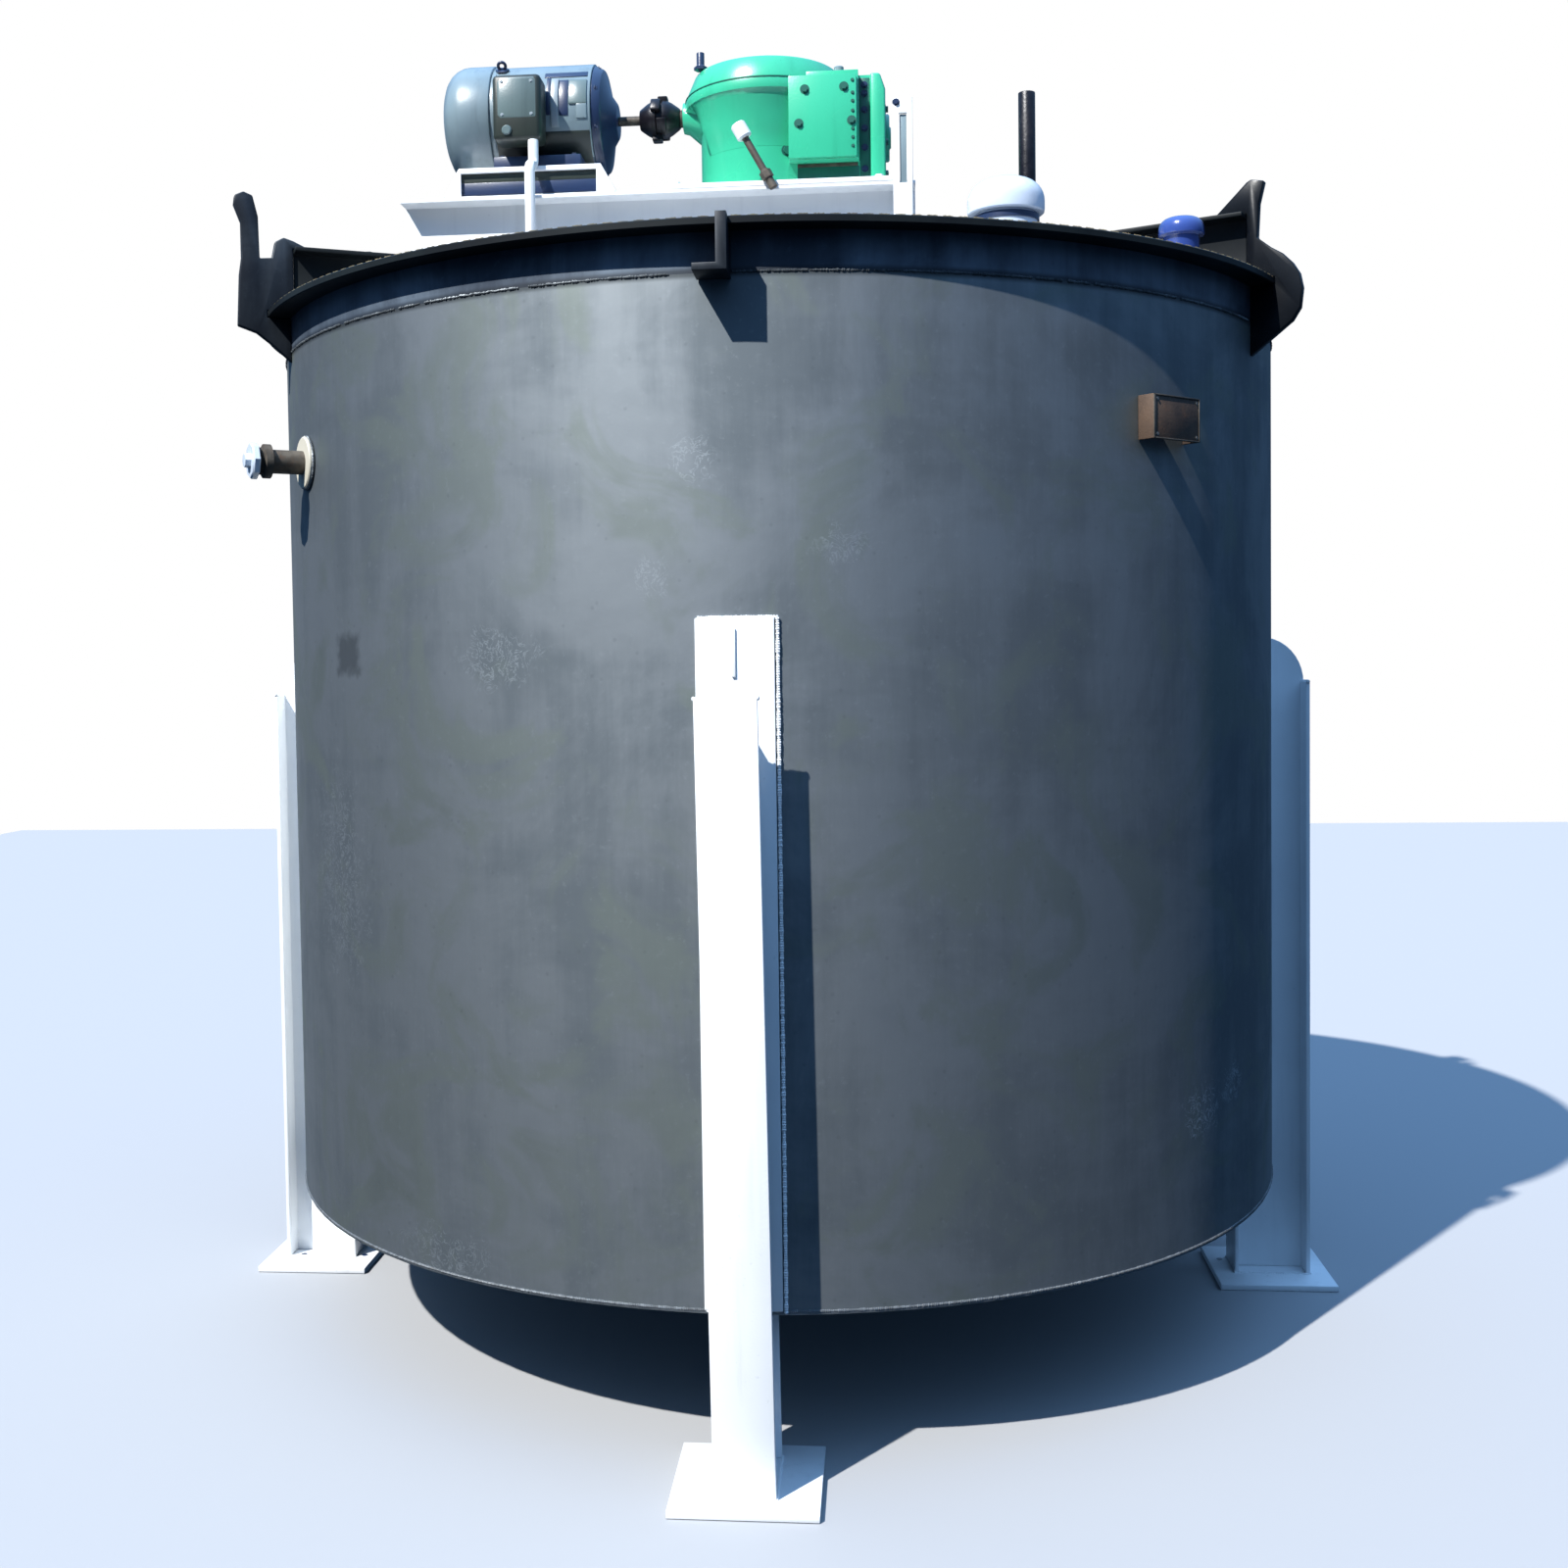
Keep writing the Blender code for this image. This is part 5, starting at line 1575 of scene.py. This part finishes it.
@dataclass
class Gearbox(Assembly):
    """Green gearbox with its covers, breather and drain rod."""

    castings: tuple[tuple[str, float], ...] = (
        ("gear_housing", 0.003), ("gear_dome", 0.004), ("input_bell", 0.003),
        ("side_cover", 0.005), ("end_cover", 0.006))
    centre: float = -0.012
    drum: float = 0.1800
    ring: float = 0.222
    ring_top: float = 3.195
    shoulder_heights: Point = (3.0300, 3.1400, 3.1680)
    shoulder_starts: tuple[tuple[str, float], ...] = (("front", -70.0), ("back", 134.0))
    shoulder_steps: int = 37
    shoulder_step: float = 3.1
    shoulder_taper: float = 5.0
    cover_face: float = -0.2123
    cover_bolts: tuple[Pair, ...] = (
        (0.0996, 3.1594), (0.2011, 3.1625), (0.0833, 3.0723), (0.2204, 3.0753))
    screw_across: float = 0.2235
    cover_screws: tuple[float, ...] = (3.010, 3.032, 3.054, 3.100, 3.125, 3.146, 3.178)
    foot_face: float = 0.155
    neck_across: float = 0.2530
    neck_bolts: tuple[float, ...] = (3.182, 3.160, 3.118, 3.070, 3.020, 2.965)
    plug_turn: float = 20.0
    plug_height: float = 3.0172
    end_face: float = 0.308
    end_bolt_row: float = 0.145
    end_bolt_heights: Point = (2.950, 3.035, 3.120)
    foot_bolts: Pair = (-0.150, 0.200)
    foot_row: float = 0.205
    foot_level: float = 2.9168
    # Painted shade: dark panels on the undercut foot and in the neck's groove, by x from, x to, z
    # from, z to.
    shade_panels: tuple[tuple[float, float, float, float], ...] = (
        (0.060, 0.2385, 2.9200, 2.9740), (0.2400, 0.2665, 2.9200, 3.2000))
    foot_edge: tuple[float, float, float, float] = (0.062, 0.2350, 2.9745, 2.9835)
    top_plug: Pair = (0.1860, -0.100)
    breather: Point = (-0.1835, -0.088, 3.2615)
    cap_height: float = 3.088
    rod_place: Point = (0.021, -0.2742, 2.893)
    rod_lean: float = -29.3

    def shoulder(self, label: str, start: float) -> None:
        """Fill the corner under the ring with a sloping shoulder that fades at its ends.

        Args:
            label: side of the gearbox.
            start: angle of its first end.
        """
        foot, flare_foot, top = self.shoulder_heights
        wall, lip = self.drum - 0.001, self.ring - 0.0008
        last = self.shoulder_steps
        rings = []
        for step in range(last + 1):
            share = min(1.0, step / self.shoulder_taper, (last - step) / self.shoulder_taper)
            share = share * share * (3.0 - 2.0 * share)
            bulge = 0.0006 + 0.0400 * share
            drop = flare_foot - (flare_foot - foot) * share - 0.0010
            middle = (top + drop) / 2
            section = [
                (wall, drop), (wall, top), (lip, top),
                (lip - 0.010 * share, top - 0.0006 - 0.012 * share),
                (self.drum + 0.62 * bulge, middle),
                (self.drum + 0.20 * bulge, (drop + middle) / 2), (self.drum + 0.0004, drop)]
            turn = start + self.shoulder_step * step
            rings.append([on_shell(reach, turn, z) + self.centre * ALONG
                          for reach, z in section])
        name = "gear_shoulder_" + label
        new_piece(name, lofted(name, rings, angle=75.0), GREEN)

    def recess(self, label: str, side: int) -> None:
        """Paint shade on the undercut foot and in the neck's groove as dark panels, with a brown
        strip on the foot's top edge.

        Args:
            label: side of the gearbox.
            side: 1 at the front and -1 at the back.
        """
        low, high = sorted((-side * (self.foot_face + 0.0018), -side * (self.foot_face + 0.0001)))
        panels = joined("painted_foot_shade", [
            block("panel", (x0, low, z0), (x1, high, z1), 0.0006)
            for x0, x1, z0, z1 in self.shade_panels])
        new_piece("painted_foot_shade_" + label, panels, DARK_GREEN)
        x0, x1, z0, z1 = self.foot_edge
        new_piece("foot_edge_" + label, block(
            "edge", (x0, low, z0), (x1, high, z1), 0.0006), BROWN)

    def drain(self) -> None:
        """Rebuild the drain rod with its nut and cap."""
        place = Matrix.Translation(self.rod_place) @ Matrix.Rotation(
            math.radians(self.rod_lean), 4, "Y")
        rod = turned("rod", [
            (0, 0), (0.0098, 0), (0.011, 0.0012), (0.011, 0.052), (0.0092, 0.054),
            (0.0092, 0.146), (0.0105, 0.1475), (0, 0.1475)], 32, False, place)
        nut = stub("nut", 0.016, 0.022, place @ Matrix.Translation((0, 0, 0.028)), 0.0015, 6)
        new_piece("drain_rod_turned", joined("drain_rod_turned", [rod, nut]), BROWN,
                  replaces=("drain_rod",))
        new_piece("drain_knob", stub(
            "drain_knob", 0.020, 0.042, place @ Matrix.Translation((0, 0, 0.148)), 0.004),
            WHITE)

    def caps(self) -> None:
        """Add the bearing cap, the dome's gasket, the top plug and the breather's nut."""
        new_piece("end_bearing_cap", turned("end_bearing_cap", [
            (0, 0), (0.062, 0), (0.062, 0.006), (0.058, 0.010), (0.030, 0.010),
            (0.026, 0.014), (0, 0.014)], 56, False,
            seat((self.end_face + 0.0002, 0, self.cap_height), ALONG)), GREEN)
        inner, outer = self.ring - 0.004, self.ring + 0.0012
        low, high = self.ring_top - 0.0010, self.ring_top + 0.0014
        new_piece("dome_gasket", turned(
            "dome_gasket", [(inner, low), (outer, low), (outer, high), (inner, high)], 128,
            True, Matrix.Translation((self.centre, 0, 0))), DARK_GREEN)
        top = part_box("gear_housing")[1].z
        new_piece("top_plug", turned("top_plug", [
            (0, 0), (0.024, 0), (0.024, 0.010), (0.020, 0.013), (0.020, 0.020),
            (0.013, 0.021), (0.013, 0.036), (0.011, 0.038), (0, 0.038)], 32, False,
            Matrix.Translation((*self.top_plug, top + 0.0002))), BLUE)
        new_piece("breather_nut", stub(
            "breather_nut", 0.018, 0.009, Matrix.Translation(self.breather), 0.001, 6), NAVY)

    def bolt(self) -> None:
        """Bolt the covers, the neck and the drum."""
        face = self.cover_face
        self.kit.bolts("side_cover_bolts", [
            (Vector((x, face, z)), OUTWARD) for x, z in self.cover_bolts],
            Bolt.COVER, DARK_GREEN)
        self.kit.bolts("side_cover_screws", [
            (Vector((self.screw_across, face, z)), OUTWARD) for z in self.cover_screws],
            Bolt.SCREW, DARK_GREEN)
        self.kit.bolts("neck_bolts", [
            (Vector((self.neck_across, -self.foot_face - 0.0018, z)), OUTWARD)
            for z in self.neck_bolts], Bolt.NECK, NAVY)
        axis = on_shell(1.0, self.plug_turn, 0.0)
        place = Vector((self.centre, 0, self.plug_height)) + (self.drum - 0.0005) * axis
        self.kit.bolts("drum_plug", [(place, axis)], Bolt.PLUG, DARK_GREEN, Head.ROUND)
        self.kit.bolts("end_cover_bolts", [
            (Vector((self.end_face, side * self.end_bolt_row, z)), ALONG)
            for side in (-1, 1) for z in self.end_bolt_heights], Bolt.COVER, DARK_GREEN)

    def build(self) -> None:
        """Soften the castings, bolt the covers on and add the fittings."""
        for node, width in self.castings:
            soften(GREEN, width, node)
        soften(NAVY, 0.001, "breather")
        soften(BLACK, 0.002, "output_shaft")
        for label, start in self.shoulder_starts:
            self.shoulder(label, start)
        for label, side in (("front", 1), ("back", -1)):
            self.recess(label, side)
        self.drain()
        self.bolt()
        self.caps()
        self.kit.bolts("gear_foot_bolts", both_sides(
            self.foot_bolts, self.foot_row, self.foot_level), Bolt.FRAME, GREEN)


# Stage


@dataclass
class Studio:
    """Camera at the photograph's angle, pale floor and soft light."""

    place: Point = (0.29918, -4.75528, 1.67055)
    heading: float = 5.2593
    pitch: float = -2.2767
    roll: float = -0.8038
    lens: float = 39.657
    shift: Pair = (0.03466, -0.03218)
    sun_turn: float = -37.0
    sun_height: float = 47.0
    sun_strength: float = 7.5
    sun_width: float = 0.8
    sun_colour: Colour = (1.0, 0.985, 0.95)
    sky_low: Colour = (0.014, 0.030, 0.058)
    sky_high: Colour = (0.350, 0.700, 1.300)
    sky_strength: float = 1.5
    sky_rise: float = 1.5
    floor_ends: Pair = (-1.95, 13.0)
    floor_half: float = 9.0
    floor_level: float = -0.0005
    floor_colour: Colour = (0.34, 0.345, 0.355)

    def camera(self) -> None:
        """Create the camera that the photograph was matched with."""
        data = bpy.data.cameras.new("photo_camera")
        data.sensor_width = 36.0
        data.lens = self.lens
        data.shift_x, data.shift_y = self.shift
        data.clip_start, data.clip_end = 0.05, 200.0
        made = linked("photo_camera", data)
        turn = (Matrix.Rotation(math.radians(self.heading), 4, "Z")
                @ Matrix.Rotation(math.radians(90.0 + self.pitch), 4, "X")
                @ Matrix.Rotation(math.radians(self.roll), 4, "Z"))
        made.matrix_world = Matrix.Translation(self.place) @ turn
        bpy.context.scene.camera = made

    def light(self) -> None:
        """Light the tank from the upper left."""
        data = bpy.data.lights.new("key", "SUN")
        data.energy = self.sun_strength
        data.angle = math.radians(self.sun_width)
        data.color = self.sun_colour
        height = math.radians(self.sun_height)
        towards = on_shell(math.cos(height), self.sun_turn, math.sin(height))
        linked("key", data).rotation_euler = towards.to_track_quat("Z", "Y").to_euler()

    def sky(self) -> None:
        """Make the world: white to the camera, dim below and blue above to the rest."""
        world = bpy.data.worlds.new("studio")
        bpy.context.scene.world = world
        world.use_nodes = True
        tree = NodeTree(world.node_tree)
        fill = tree.tree.nodes["Background"]
        place = tree.node("ShaderNodeTexCoord").outputs["Generated"]
        split = tree.node("ShaderNodeSeparateXYZ", {"Vector": place})
        above = tree.math("MAXIMUM", split.outputs[2], 0.0)
        rise = tree.math("POWER", above, self.sky_rise)
        tree.feed(fill.inputs["Color"], tree.mix(rise, self.sky_low, self.sky_high))
        fill.inputs["Strength"].default_value = self.sky_strength
        white = tree.node("ShaderNodeBackground", {"Color": (1.0, 1.0, 1.0)})
        seen = tree.node("ShaderNodeLightPath").outputs["Is Camera Ray"]
        both = tree.node("ShaderNodeMixShader")
        for socket, value in zip(both.inputs, (seen, fill.outputs[0], white.outputs[0])):
            tree.feed(socket, value)
        tree.feed(tree.tree.nodes["World Output"].inputs["Surface"], both.outputs[0])

    def floor(self) -> None:
        """Lay a pale floor under the foot plates that throws no light on the tank."""
        near, far = self.floor_ends
        half, level = self.floor_half, self.floor_level
        mesh = bpy.data.meshes.new("pale_floor")
        mesh.from_pydata([(-half, near, level), (half, near, level),
                          (half, far, level), (-half, far, level)], [], [(0, 1, 2, 3)])
        made = linked("pale_floor", mesh)
        made.visible_diffuse = False
        made.visible_glossy = False
        paint = bpy.data.materials.new("pale_floor")
        Shading(paint).finish(Base_Color=self.floor_colour, Roughness=0.95)
        mesh.materials.append(paint)

    def build(self) -> None:
        """Set the whole stage."""
        self.camera()
        self.light()
        self.sky()
        self.floor()
        bpy.context.scene.view_settings.view_transform = "Standard"


def main() -> None:
    """Dress the whole tank and set the stage."""
    logging.basicConfig(level=logging.INFO, format="%(message)s")
    Studio().build()
    kit = Hardware()
    for kind in (JacketedShell, Legs, RimWorks, DriveFrame, Motor, Gearbox):
        LOG.info("building %s", kind.__name__)
        kind(kit).build()


if __name__ == "__main__":
    main()
